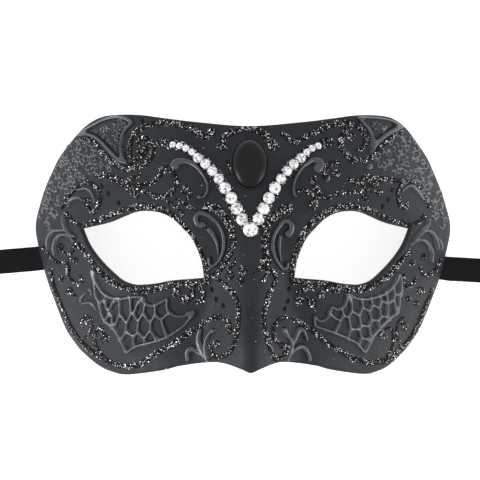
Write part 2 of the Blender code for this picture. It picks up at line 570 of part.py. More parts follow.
def plate_between(name, plan, triangles, low, high, finish):
    """Closed solid between two lifts over the shell, with walls round its open edges."""
    count = len(plan)
    edges = set()
    faces = []
    for a, b, c in triangles:
        faces.append((a, b, c))
        faces.append((a + count, c + count, b + count))
        edges.update(((a, b), (b, c), (c, a)))
    for start, end in edges:
        if (end, start) not in edges:
            faces.append((start, start + count, end + count, end))
    vertices = np.vstack([over_shell(plan, high), over_shell(plan, low)])
    return new_object(name, vertices, faces, finish, smooth_angle=math.radians(40))


def used_points(plan, triangles):
    """Counterclockwise triangles over only the points that they use, and those points' old places."""
    used = sorted({index for triangle in triangles for index in triangle})
    place = {index: at for at, index in enumerate(used)}
    turned = []
    for triangle in triangles:
        a, b, c = (place[index] for index in triangle)
        corner = plan[used[a]]
        clockwise = np.cross(plan[used[b]] - corner, plan[used[c]] - corner) < 0
        turned.append((a, c, b) if clockwise else (a, b, c))
    return turned, used


def plate_on_ground(name, plan, triangles, rise, finish, ground):
    """Closed plate that lies a gap over the ground and joins the ground itself."""
    triangles, used = used_points(plan, triangles)
    plan = plan[used]
    low = settled_lift(plan, triangles, ground)
    high = low + (rise[used] if np.ndim(rise) else rise)
    made = plate_between(name, plan, triangles, low, high, finish)
    ground.add(over_shell(plan, high), triangles)
    return made


def floor_cutter():
    """Block below the table that trims the rim where the shell stands."""
    bm = bmesh.new()
    bmesh.ops.create_cube(bm, size=1.0)
    depth = 0.02
    bmesh.ops.scale(bm, verts=bm.verts, vec=(2 * MASK_WIDTH, 2 * MASK_HEIGHT, depth))
    bmesh.ops.translate(bm, verts=bm.verts, vec=(0, 0, -depth / 2))
    mesh = bpy.data.meshes.new("floor_cutter")
    bm.to_mesh(mesh)
    bm.free()
    cutter = bpy.data.objects.new("floor_cutter", mesh)
    bpy.context.scene.collection.objects.link(cutter)
    cutter.hide_render = True
    cutter.display_type = "WIRE"
    return cutter


def build_shell(finish):
    """Mask shell with its eye openings, trimmed flat where it stands, and its front face as ground."""
    loops = [outline_loop(), eye_loop(-1), eye_loop(1)]
    row_step = SHELL_GRID * math.sqrt(3) / 2
    rows = round(HALF_HEIGHT / row_step) + 1
    columns = round(HALF_WIDTH / SHELL_GRID) + 1
    grid = np.array([
        ((column + 0.5 * (row % 2)) * SHELL_GRID, row * row_step)
        for row in range(-rows, rows + 1) for column in range(-columns, columns + 1)
    ])
    keep = inside_loop(grid, loops[0])
    for loop in loops:
        keep &= ~near_loop(grid, loop, 0.65 * SHELL_GRID)
    for loop in loops[1:]:
        keep &= ~inside_loop(grid, loop)
    plan, triangles, held_by = triangulate(loops, grid[keep], 1e-7)
    wall = [triangle for triangle, held in zip(triangles, held_by) if list(held) == [0]]
    wall, used = used_points(plan, wall)
    plan = plan[used]
    front = np.zeros(len(plan))
    shell = plate_between("mask_shell", plan, wall, front - SHELL_WALL, front, finish)
    trim = shell.modifiers.new("floor_trim", "BOOLEAN")
    trim.operation = "DIFFERENCE"
    trim.solver = "EXACT"
    trim.object = floor_cutter()
    ground = Ground()
    ground.add(over_shell(plan, front), wall)
    return ground


def stroke_width(stroke, share):
    """Width of a stroke at shares of its length."""
    rise = stroke.start + (stroke.middle - stroke.start) * np.minimum(2 * share, 1)
    return rise + (stroke.end - stroke.middle) * np.maximum(2 * share - 1, 0)


def stroke_outline(stroke, spacing):
    """Spine of a stroke and the closed loop round it, on the chart."""
    spine = smooth_path(stroke.points, spacing)
    along = np.gradient(spine, axis=0)
    aside = np.stack([-along[:, 1], along[:, 0]], axis=-1)
    aside /= np.linalg.norm(aside, axis=1, keepdims=True)
    reach = aside * stroke_width(stroke, np.linspace(0, 1, len(spine)))[:, None] / 2
    return spine, np.vstack([spine + reach, (spine - reach)[::-1]])


def dot_outline(dot, sides=8):
    """Closed loop round a dot, on the chart."""
    turns = np.arange(sides) * 2 * math.pi / sides
    return np.stack([dot.u + dot.radius * np.cos(turns), dot.v + dot.radius * np.sin(turns)], axis=-1)


def cell_outline(cell):
    """Pointed oval of one net cell, on the chart."""
    shape = ((0, -1), (0.75, -0.45), (1, 0.1), (0.6, 0.6), (0, 1), (-0.6, 0.6), (-1, 0.1), (-0.75, -0.45))
    lean = math.radians(cell.lean)
    turned = np.array(shape) * (cell.half_width, cell.half_length)
    u = turned[:, 0] * math.cos(lean) - turned[:, 1] * math.sin(lean)
    v = turned[:, 0] * math.sin(lean) + turned[:, 1] * math.cos(lean)
    return np.stack([cell.u + u, cell.v + v], axis=-1)


def build_figure(name, figure, spacing, rise, ridged, finish, ground):
    """Raised figure of strokes and dots, laid a gap over the shell."""
    loops, spines = [], []
    for stroke in figure.strokes:
        spine, loop = stroke_outline(stroke, spacing)
        loops.append(loop)
        spines.append(spine[1:-1])
    loops.extend(dot_outline(dot) for dot in figure.dots)
    spines.append(np.array([(dot.u, dot.v) for dot in figure.dots]).reshape(-1, 2))
    spots = np.vstack(spines) if ridged else np.zeros((0, 2))
    chart, triangles, held_by = triangulate(loops, spots, 1e-3)
    kept = [triangle for triangle, held in zip(triangles, held_by) if held]
    on_spine = np.zeros(len(chart), bool)
    if ridged:
        on_spine = np.linalg.norm(chart[:, None, :] - spots[None, :, :], axis=2).min(axis=1) < 0.1
    shoulder = RELIEF_SHOULDER if ridged else 1.0
    return plate_on_ground(name, chart_to_plan(chart), kept, rise * np.where(on_spine, 1.0, shoulder),
                           finish, ground)


def build_panel(name, panel, finish, ground):
    """Raised plate pierced by cells, laid a gap over the shell."""
    cells = [cell_outline(cell) if isinstance(cell, Cell) else np.array(cell) for cell in panel.cells]
    chart, triangles, held_by = triangulate([np.array(panel.edge)] + cells, np.zeros((0, 2)), 1e-3)
    kept = [triangle for triangle, held in zip(triangles, held_by) if list(held) == [0]]
    return plate_on_ground(name, chart_to_plan(chart), kept, RELIEF_RISE, finish, ground)


def seat_on_ground(thing, plan_point, half_size, ground):
    """Place a flat-backed piece a gap over the ground, with its own +Z along the shell's normal."""
    plan = np.array([plan_point])
    turn = Vector(shell_normals(plan[:, 0], plan[:, 1])[0]).to_track_quat("Z", "Y")
    back = [(0.0, 0.0, 0.0)] + oval_ring(2 * half_size[0], 2 * half_size[1], 0.0, 16)
    back += oval_ring(half_size[0], half_size[1], 0.0, 8)
    lift = GAP
    for _ in range(SETTLE_ROUNDS):
        foot = Vector(over_shell(plan, np.array([lift]))[0])
        short = ground.shortfall([foot + turn @ Vector(point) for point in back], GAP)
        if short < GAP / 100:
            break
        lift += short
    thing.location = over_shell(plan, np.array([lift]))[0]
    thing.rotation_euler = turn.to_euler()


def oval_ring(width, length, z, sides):
    """Ring of points round an oval at height z."""
    turns = np.arange(sides) * 2 * math.pi / sides
    return [(width / 2 * math.cos(turn), length / 2 * math.sin(turn), z) for turn in turns]


def loft_faces(ring_count, sides):
    """Faces of a closed loft through rings stacked upward, with flat ends."""
    faces = [tuple(reversed(range(sides))), tuple(range((ring_count - 1) * sides, ring_count * sides))]
    for ring in range(ring_count - 1):
        for side in range(sides):
            here = ring * sides + side
            beside = ring * sides + (side + 1) % sides
            faces.append((here, beside, beside + sides, here + sides))
    return faces


def build_cabochon(glossy, painted, ground):
    """Oval dome on its raised seat."""
    sides = 24
    centre = np.array([(0.0, CABOCHON_UP * HALF_HEIGHT)])
    turns = np.arange(sides) * 2 * math.pi / sides
    round_oval = np.stack([np.cos(turns), np.sin(turns)], axis=-1)
    inner = np.array([CABOCHON_WIDTH, CABOCHON_LENGTH]) / 2
    outer = inner + SEAT_BORDER
    loop = centre + round_oval * outer
    spots = np.vstack([centre + round_oval * (inner + SEAT_BORDER / 3), centre])
    plan, triangles, held_by = triangulate([loop], spots, 1e-7)
    kept = [triangle for triangle, held in zip(triangles, held_by) if held]
    on_rim = np.linalg.norm((plan - centre) / outer, axis=1) > 0.98
    rise = SEAT_RISE * np.where(on_rim, 0.4, 1.0)
    plate_on_ground("cabochon_seat", plan, kept, rise, painted, ground)

    girdle = 0.12
    rings = [oval_ring(CABOCHON_WIDTH, CABOCHON_LENGTH, 0.0, sides)]
    for share in (0.0, 0.3, 0.55, 0.76, 0.91, 0.98):
        size = math.sqrt(1 - share ** 2)
        z = CABOCHON_RISE * (girdle + (1 - girdle) * share)
        rings.append(oval_ring(CABOCHON_WIDTH * size, CABOCHON_LENGTH * size, z, sides))
    vertices = [point for ring in rings for point in ring]
    dome = new_object("forehead_cabochon", vertices, loft_faces(len(rings), sides), glossy,
                      smooth_angle=math.radians(35))
    seat_on_ground(dome, centre[0], inner, ground)


def stone_mesh(diameter, finish):
    """Flat-backed round stone with a table, eight star facets and sixteen girdle facets."""
    depth = diameter * STONE_DEPTH_SHARE
    girdle_z = depth * STONE_GIRDLE_SHARE
    around = [turn * math.pi / 8 for turn in range(16)]
    rim = [(diameter / 2 * math.cos(turn), diameter / 2 * math.sin(turn)) for turn in around]
    table = [(x * STONE_TABLE_SHARE, y * STONE_TABLE_SHARE, depth) for x, y in rim[1::2]]
    vertices = [(x, y, 0.0) for x, y in rim] + [(x, y, girdle_z) for x, y in rim] + table
    faces = [tuple(reversed(range(16))), tuple(range(32, 40))]
    for i in range(16):
        faces.append((i, (i + 1) % 16, 16 + (i + 1) % 16, 16 + i))
        nearest = 32 + (i // 2)
        faces.append((16 + i, 16 + (i + 1) % 16, nearest))
    for i in range(8):
        faces.append((16 + 2 * i, 32 + i, 32 + (i - 1) % 8))
    mesh = bpy.data.meshes.new("stone")
    mesh.from_pydata(vertices, [], faces)
    mesh.materials.append(finish)
    mesh.update()
    return mesh


def stone_places(side, diameters):
    """Plan points of the stones on one arm, spaced along the shell from the centre stone."""
    line = smooth_path(shares_to_plan(STONE_LINE, side), 0.0004)
    surface = over_shell(line, np.zeros(len(line)))
    travelled = np.concatenate([[0], np.cumsum(np.linalg.norm(np.diff(surface, axis=0), axis=1))])
    stops, at, previous = [], 0.0, STONE_CENTRE
    for diameter in diameters:
        at += (previous + diameter) / 2 + GAP
        stops.append(at)
        previous = diameter
    return np.stack([np.interp(stops, travelled, column) for column in line.T], axis=-1)


def build_stones(crystal, ground):
    """Centre stone and the two arms of the V."""
    meshes = {}

    def place(name, diameter, plan_point):
        if diameter not in meshes:
            meshes[diameter] = stone_mesh(diameter, crystal)
        stone = bpy.data.objects.new(name, meshes[diameter])
        bpy.context.scene.collection.objects.link(stone)
        seat_on_ground(stone, plan_point, (diameter / 2, diameter / 2), ground)

    place("rhinestone_centre", STONE_CENTRE, (0.0, STONE_LINE[0].up * HALF_HEIGHT))
    for arm, side, diameters in (("left", -1, LEFT_STONES), ("right", 1, RIGHT_STONES)):
        for number, (diameter, spot) in enumerate(zip(diameters, stone_places(side, diameters)), 1):
            place(f"rhinestone_{arm}_{number:02d}", diameter, spot)


def build_stone_bed(name, side, diameters, finish, ground):
    """Glitter bed under one arm of stones, from beside the centre line to past the last stone."""
    places = stone_places(side, diameters)
    centre = np.array([[side * (GAP + STONE_LARGE * 0.25), STONE_LINE[0].up * HALF_HEIGHT - STONE_CENTRE / 2]])
    tail = places[-1] + (places[-1] - places[-2]) * 1.6
    spine = smooth_path(np.vstack([centre, places, tail]), STONE_MEDIUM)
    sizes = (STONE_LARGE * 0.5,) + tuple(diameters) + (diameters[-1],)
    width = np.interp(np.linspace(0, 1, len(spine)), np.linspace(0, 1, len(sizes)), sizes)
    along = np.gradient(spine, axis=0)
    aside = np.stack([-along[:, 1], along[:, 0]], axis=-1)
    aside /= np.linalg.norm(aside, axis=1, keepdims=True)
    reach = aside * (width[:, None] / 2 + STONE_BED_MARGIN)
    loop = np.vstack([spine + reach, (spine - reach)[::-1]])
    loop[:, 0] = side * np.maximum(side * loop[:, 0], GAP)
    plan, triangles, held_by = triangulate([loop], np.zeros((0, 2)), 1e-7)
    kept = [triangle for triangle, held in zip(triangles, held_by) if held]
    plate_on_ground(name, plan, kept, GLITTER_RISE, finish, ground)


def build_ribbon(name, run, finish):
    """Flat ribbon glued inside the shell, led under the rim and laid on the table."""
    tail_x = HALF_WIDTH + RIBBON_TAIL
    glued_y = run.glued_up * HALF_HEIGHT
    edge = float(side_edge(glued_y))
    rail = []
    for across in (-0.5, 0.0, 0.5):
        y = glued_y + across * RIBBON_WIDTH
        x = np.linspace(edge - RIBBON_GLUED_LENGTH, float(side_edge(y)), 7)
        plan = np.stack([run.side * x, np.full(len(x), y)], axis=-1)
        under = SHELL_WALL + RIBBON_CLEARANCE
        upper = over_shell(plan, -under)
        lower = over_shell(plan, -(under + RIBBON_THICKNESS))
        out = np.linspace(edge + 2 * RIBBON_THICKNESS, tail_x, 5)
        droop = (run.tail_up - run.glued_up) * HALF_HEIGHT * (out - out[0]) / (out[-1] - out[0])
        flat = np.stack([run.side * out, y + droop, np.zeros(len(out))], axis=-1)
        rail.append((np.vstack([upper, flat + (0, 0, RIBBON_THICKNESS)]), np.vstack([lower, flat])))
    stations = len(rail[0][0])
    rings = [
        [rail[0][0][i], rail[1][0][i], rail[2][0][i], rail[2][1][i], rail[1][1][i], rail[0][1][i]]
        for i in range(stations)
    ]
    if run.side > 0:
        rings = rings[::-1]
    vertices = [point for ring in rings for point in ring]
    new_object(name, vertices, loft_faces(stations, 6), finish, smooth_angle=math.radians(40))


def main():
    """Build the whole mask."""
    for old in list(bpy.data.objects):
        bpy.data.objects.remove(old, do_unlink=True)
    painted = material("charcoal_paint", (0.055, 0.058, 0.065), 0.42)
    stucco = material("stucco_paint", (0.070, 0.074, 0.082), 0.40)
    glitter = material("black_glitter", (0.012, 0.012, 0.014), 0.30, 0.35)
    glossy = material("black_cabochon", (0.008, 0.009, 0.011), 0.08)
    crystal = material("crystal", (0.86, 0.86, 0.90), 0.06, 0.55)
    satin = material("black_satin", (0.010, 0.011, 0.013), 0.38)
    ground = build_shell(painted)
    build_cabochon(glossy, painted, ground)
    build_stone_bed("stone_bed_left", -1, LEFT_STONES, glitter, ground)
    build_stone_bed("stone_bed_right", 1, RIGHT_STONES, glitter, ground)
    build_stones(crystal, ground)
    for name, figure in SCROLLS.items():
        build_figure(name, figure, RELIEF_SPACING, RELIEF_RISE, True, stucco, ground)
    for name, panel in PANELS.items():
        build_panel(name, panel, stucco, ground)
    for name, figure in GLITTER.items():
        build_figure(name, figure, GLITTER_SPACING, GLITTER_RISE, False, glitter, ground)
    for name, run in RIBBON_RUNS.items():
        build_ribbon(name, run, satin)


main()
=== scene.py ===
"""Looks of the rhinestone half mask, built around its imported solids.

Metres, +Z up, in the row's frame: the mask lies face up with X across the face and Y up to the forehead.
Ornament is drawn on the same front chart as in the part: u to the right and v down, CHART_SIZE units square.
"""
from dataclasses import dataclass, field
from enum import Enum
import logging
import math
from typing import Any, Callable, NamedTuple, Sequence

import bmesh
import bpy
import numpy as np
from mathutils import Matrix, Vector
from mathutils.geometry import delaunay_2d_cdt
from mathutils.kdtree import KDTree


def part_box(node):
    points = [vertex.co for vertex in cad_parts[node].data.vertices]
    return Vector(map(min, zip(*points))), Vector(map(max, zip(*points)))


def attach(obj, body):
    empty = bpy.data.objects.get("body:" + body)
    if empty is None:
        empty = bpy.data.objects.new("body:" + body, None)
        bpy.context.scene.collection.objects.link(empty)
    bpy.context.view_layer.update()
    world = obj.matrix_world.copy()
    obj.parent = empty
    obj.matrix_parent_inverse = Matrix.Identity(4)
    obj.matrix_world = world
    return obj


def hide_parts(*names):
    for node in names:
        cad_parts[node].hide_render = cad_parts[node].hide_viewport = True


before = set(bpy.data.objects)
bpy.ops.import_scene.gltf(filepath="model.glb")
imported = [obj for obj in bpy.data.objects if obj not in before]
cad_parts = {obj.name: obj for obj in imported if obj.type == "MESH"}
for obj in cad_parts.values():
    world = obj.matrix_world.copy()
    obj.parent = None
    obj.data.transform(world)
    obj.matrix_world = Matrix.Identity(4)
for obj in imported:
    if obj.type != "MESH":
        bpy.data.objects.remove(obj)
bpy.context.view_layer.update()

LOG = logging.getLogger("half_mask")
Array = np.ndarray
SEED = 2026
TINY = 1e-9
WHITE = (1.0, 1.0, 1.0, 1.0)

# Sizes of the shell and the chart, as in the part
MASK_WIDTH = 0.190
MASK_HEIGHT = 0.1155
HALF_WIDTH = MASK_WIDTH / 2
HALF_HEIGHT = MASK_HEIGHT / 2
SHELL_WALL = 0.0025
CHART_SIZE = 480.0
CHART_UNIT_X = MASK_WIDTH / 417.1
CHART_UNIT_Y = MASK_HEIGHT / 253.6
CHART_ORIGIN_U = 243.42
CHART_ORIGIN_V = 245.05
CHART_DISTANCE = 1.2
CHART_TURN = math.radians(2.65)
AXIS_POINT = ((CHART_SIZE / 2 - CHART_ORIGIN_U) * CHART_UNIT_X,
              (CHART_ORIGIN_V - CHART_SIZE / 2) * CHART_UNIT_Y)

# How finely curves and slopes are worked out
CURVE_STEPS = 12
CHART_ROUNDS = 14
SLOPE_PROBE = 2e-5
EDGE_SPACING = 1.5
STROKE_SPACING = 1.2

# Blue of a grey shade against its red, and the span in which most of a noise lies
COOLNESS = 1.02
NOISE_SPAN = (0.3, 0.7)

# What sets the random draws of each kind of piece apart
RIGHT_NUMBER = 20
TRIM_NUMBER = 40
BED_NUMBER = 80
DUST_NUMBER = 99
STREW_NUMBER = 100

# Ridge of thick glue: half width at which it reaches its full height, and how steep its sides are
GLUE_RIDGE = {"full_half": 1.8, "roundness": 0.45}


class Section(NamedTuple):
    """One level of the shell, in the shares that the part uses."""

    up: float
    crown: float
    nose: float
    nose_out: float
    edge_out: float
    arch: float
    lift: float


class Spot(NamedTuple):
    """A point in shares of the half width and the half height."""

    out: float
    up: float


class Stroke(NamedTuple):
    """A tapered line on the chart."""

    start: float
    middle: float
    end: float
    points: tuple

    def widened(self, times: float) -> "Stroke":
        """The same stroke, so many times as wide."""
        return self._replace(start=self.start * times, middle=self.middle * times, end=self.end * times)


class Dot(NamedTuple):
    """A round blob on the chart."""

    u: float
    v: float
    radius: float


class Figure(NamedTuple):
    """Strokes and dots that make one raised piece, with their sizes in chart units."""

    strokes: tuple
    dots: tuple = ()


class Cell(NamedTuple):
    """A pointed oval opening in a net."""

    u: float
    v: float
    half_width: float
    half_length: float
    lean: float


class Panel(NamedTuple):
    """A raised plate and what is cut out of it."""

    edge: tuple
    cells: tuple


class Side(Enum):
    """Which half of the mask a piece belongs to."""

    LEFT = -1
    RIGHT = 1


class Slot(Enum):
    """The record's material slots."""

    SHELL = "shell_paint"
    STUCCO = "stucco_paint"
    GLITTER = "glitter_black"
    CABOCHON = "cabochon_black"
    CRYSTAL = "crystal"
    SATIN = "satin_black"


# Sections of the shell from the top down. up is a share of HALF_HEIGHT, crown of CROWN_RISE, nose of
# NOSE_RISE, nose_out of NOSE_HALF_WIDTH, edge_out of HALF_WIDTH, arch of EDGE_ARCH, lift of CORNER_LIFT.
SECTIONS = (
    Section(1.100, 0.800, 0.00, 0.60, 0.690, 0.00, 1.00),
    Section(0.950, 0.850, 0.00, 0.60, 0.765, 0.00, 0.72),
    Section(0.827, 0.895, 0.00, 0.60, 0.818, 0.00, 0.40),
    Section(0.723, 0.930, 0.00, 0.60, 0.871, 0.00, 0.20),
    Section(0.593, 0.965, 0.00, 0.60, 0.915, 0.00, 0.07),
    Section(0.449, 0.990, 0.00, 0.61, 0.954, 0.00, 0.00),
    Section(0.300, 1.000, 0.02, 0.63, 0.981, 0.30, 0.00),
    Section(0.143, 0.995, 0.10, 0.65, 0.999, 0.68, 0.00),
    Section(0.000, 0.975, 0.22, 0.68, 0.986, 0.95, 0.00),
    Section(-0.130, 0.950, 0.34, 0.72, 0.967, 1.00, 0.00),
    Section(-0.270, 0.920, 0.48, 0.78, 0.944, 0.95, 0.00),
    Section(-0.420, 0.890, 0.64, 0.85, 0.912, 0.62, 0.00),
    Section(-0.580, 0.860, 0.80, 0.93, 0.876, 0.22, 0.00),
    Section(-0.725, 0.830, 0.93, 1.00, 0.833, 0.00, 0.00),
    Section(-0.846, 0.805, 1.00, 1.00, 0.773, 0.00, 0.08),
    Section(-0.950, 0.785, 0.98, 1.00, 0.720, 0.00, 0.27),
    Section(-1.100, 0.755, 0.88, 1.00, 0.640, 0.00, 0.55),
)

# Widths of the stones
STONE_CENTRE = 0.0060
STONE_LARGE = 0.0049
STONE_MEDIUM = 0.00415
STONE_SMALL = 0.00295

# Right half of the outline: out is a share of HALF_WIDTH and up of HALF_HEIGHT. The side between the
# two runs follows edge_out of the sections from SIDE_TOP down to SIDE_FOOT.
TOP_EDGE = (
    Spot(0.000, 0.906), Spot(0.235, 0.936), Spot(0.393, 0.969), Spot(0.482, 0.991), Spot(0.563, 1.000),
    Spot(0.661, 0.993), Spot(0.722, 0.958), Spot(0.778, 0.894),
)
SIDE_TOP = 0.827
SIDE_FOOT = -0.846
FOOT_EDGE = (
    Spot(0.693, -0.946), Spot(0.623, -0.990), Spot(0.554, -1.000), Spot(0.395, -0.957),
    Spot(0.317, -0.922), Spot(0.172, -0.886), Spot(0.108, -0.896), Spot(0.045, -0.931),
    Spot(0.000, -0.958),
)

# Eye opening, in the same shares. Both lids run from the outer corner to the inner one.
UPPER_LID = (
    Spot(0.774, 0.126), Spot(0.651, 0.170), Spot(0.584, 0.213), Spot(0.526, 0.249), Spot(0.472, 0.258),
    Spot(0.411, 0.244), Spot(0.354, 0.199), Spot(0.304, 0.121), Spot(0.261, 0.036), Spot(0.223, -0.114),
    Spot(0.2095, -0.249),
)
LOWER_LID = (
    Spot(0.774, 0.126), Spot(0.742, 0.003), Spot(0.699, -0.097), Spot(0.644, -0.190),
    Spot(0.585, -0.270), Spot(0.531, -0.301), Spot(0.482, -0.300), Spot(0.428, -0.289),
    Spot(0.361, -0.268), Spot(0.283, -0.258), Spot(0.2095, -0.249),
)

# Stones from the centre outward
LEFT_STONES = (STONE_LARGE,) * 4 + (STONE_MEDIUM,) * 4 + (STONE_SMALL,) * 4
RIGHT_STONES = LEFT_STONES[:-1]

# Raised figures on the chart. A stroke has its width at the start, middle and end; a dot its radius.
SCROLLS = {
    "brow_scroll_left": Figure(
        (Stroke(6.6, 3, 2.4, (
            (174.6, 166), (175.8, 163.2), (179.8, 161.5), (185.4, 161.3), (191.7, 163.4), (197.3, 167.6),
            (202.3, 173.9), (206.5, 181), (207.9, 187.3), (206.5, 193.6), (203.7, 197.3),
            (200, 197.8))),),
        (Dot(176.2, 166.6, 3.8), Dot(199.6, 197.4, 2.6))),
    "brow_scroll_right": Figure(
        (Stroke(6.4, 3, 2.6, (
            (318, 169.4), (320.4, 165.6), (319.4, 162), (315.8, 160.4), (311.6, 160.5), (307.3, 163.6),
            (303.1, 166.4), (299.6, 171.1), (296.1, 176.8), (293.7, 183.1), (293, 188.7), (293.7, 194.3),
            (295.4, 196.6))),),
        (Dot(317, 168, 4.8),)),
    "nose_scroll_left": Figure(
        (Stroke(4.4, 3.2, 3, (
            (202, 225.6), (197.6, 223.6), (195.8, 217.6), (199.5, 213.4), (205.8, 214.2), (212.1, 218.2),
            (217.7, 223.4), (221.9, 230.2), (224, 237.9), (224.4, 245.6), (223.3, 252.6), (219.8, 260.3),
            (213.5, 265.9), (209.8, 263.4), (209.4, 258.2))),),
        (Dot(202.4, 224.6, 3.9),)),
    "nose_scroll_right": Figure(
        (Stroke(5, 3.2, 3, (
            (287.8, 234.6), (290.4, 231.6), (291.4, 225.4), (287, 221.2), (282.4, 222.2), (278.6, 227),
            (275.4, 231.6), (273, 237.2), (271.9, 244.2), (272.6, 251.9), (275.1, 259.6), (278.6, 265.2),
            (282.1, 268.6), (286, 267.6), (287, 263.2))),),
        (Dot(287.8, 233.4, 3.9),)),
    "nose_leaf_left": Figure(
        (Stroke(4.4, 3.4, 1.6, (
            (209.6, 229.6), (213.2, 234.4), (216.4, 240.2), (218.4, 246.4), (219.2, 254.4))),)),
    "nose_leaf_right": Figure(
        (Stroke(3.4, 3, 1.6, ((279.6, 236.4), (278.6, 243.5), (278.4, 250.5), (279.6, 261))),)),
    "chin_spray_left": Figure(
        (Stroke(4.2, 5.8, 1.8, (
            (200.6, 330.4), (198.8, 337.6), (200.2, 346.2), (204.4, 354.6), (210, 361))),
         Stroke(2.2, 3, 2.6, (
            (212.2, 331.6), (207.6, 338.3), (206, 345.3), (206.6, 352.4), (208.6, 360.2))),
         Stroke(3.2, 4.6, 2, (
            (187.6, 359), (187.8, 351.2), (191.8, 348.2), (196.8, 350.8), (203, 354.6)))),
        (Dot(213.4, 330.8, 2.8),)),
    "chin_spray_right": Figure(
        (Stroke(2.6, 3, 3.2, (
            (284.9, 361.2), (288.2, 354.9), (290.7, 347.5), (290.4, 340.8), (286.6, 335.9), (284.2, 330.6))),
         Stroke(1.8, 4.8, 2.6, (
            (290.8, 345), (294.6, 337.9), (298, 330.6), (301.6, 329), (304.6, 333.4), (306.4, 339.5))),
         Stroke(2, 4.2, 3, (
            (289.4, 353.4), (294.6, 348.6), (300.6, 346), (305.2, 348.8), (308.2, 354), (309.5, 359.2)))),
        (Dot(284.4, 330.4, 3.6),)),
    "temple_leaf_left": Figure(
        (Stroke(2, 3.4, 1.8, (
            (64.2, 216.6), (64.8, 223.2), (67, 229.5), (71.4, 234.4), (76.4, 236.4))),
         Stroke(2, 3, 2.4, (
            (55.6, 254.4), (54.4, 247.7), (56, 240.7), (60.2, 235.6), (66, 234.4), (71.2, 236.6),
            (74.6, 240.8))),
         Stroke(1.8, 2.8, 2.2, (
            (48.6, 249.4), (48.4, 242.1), (50.3, 235.6), (54.4, 231.4), (59.6, 230.6), (66.4, 230.4))))),
    "temple_leaf_right": Figure(
        (Stroke(1.8, 3.2, 2.4, (
            (428.3, 219.8), (426.2, 226), (421.8, 231.4), (416.8, 236.8), (413.4, 241.6))),
         Stroke(2, 2.8, 1.8, (
            (422.4, 231.8), (428.5, 230.9), (432.9, 235.1), (435.6, 241.4), (437, 248.6))),
         Stroke(1.8, 3, 2, (
            (409.4, 244.9), (413.4, 241.4), (419.4, 239.5), (425, 241.6), (429.2, 247.7), (431.2, 254.7),
            (430.6, 261.2))))),
}

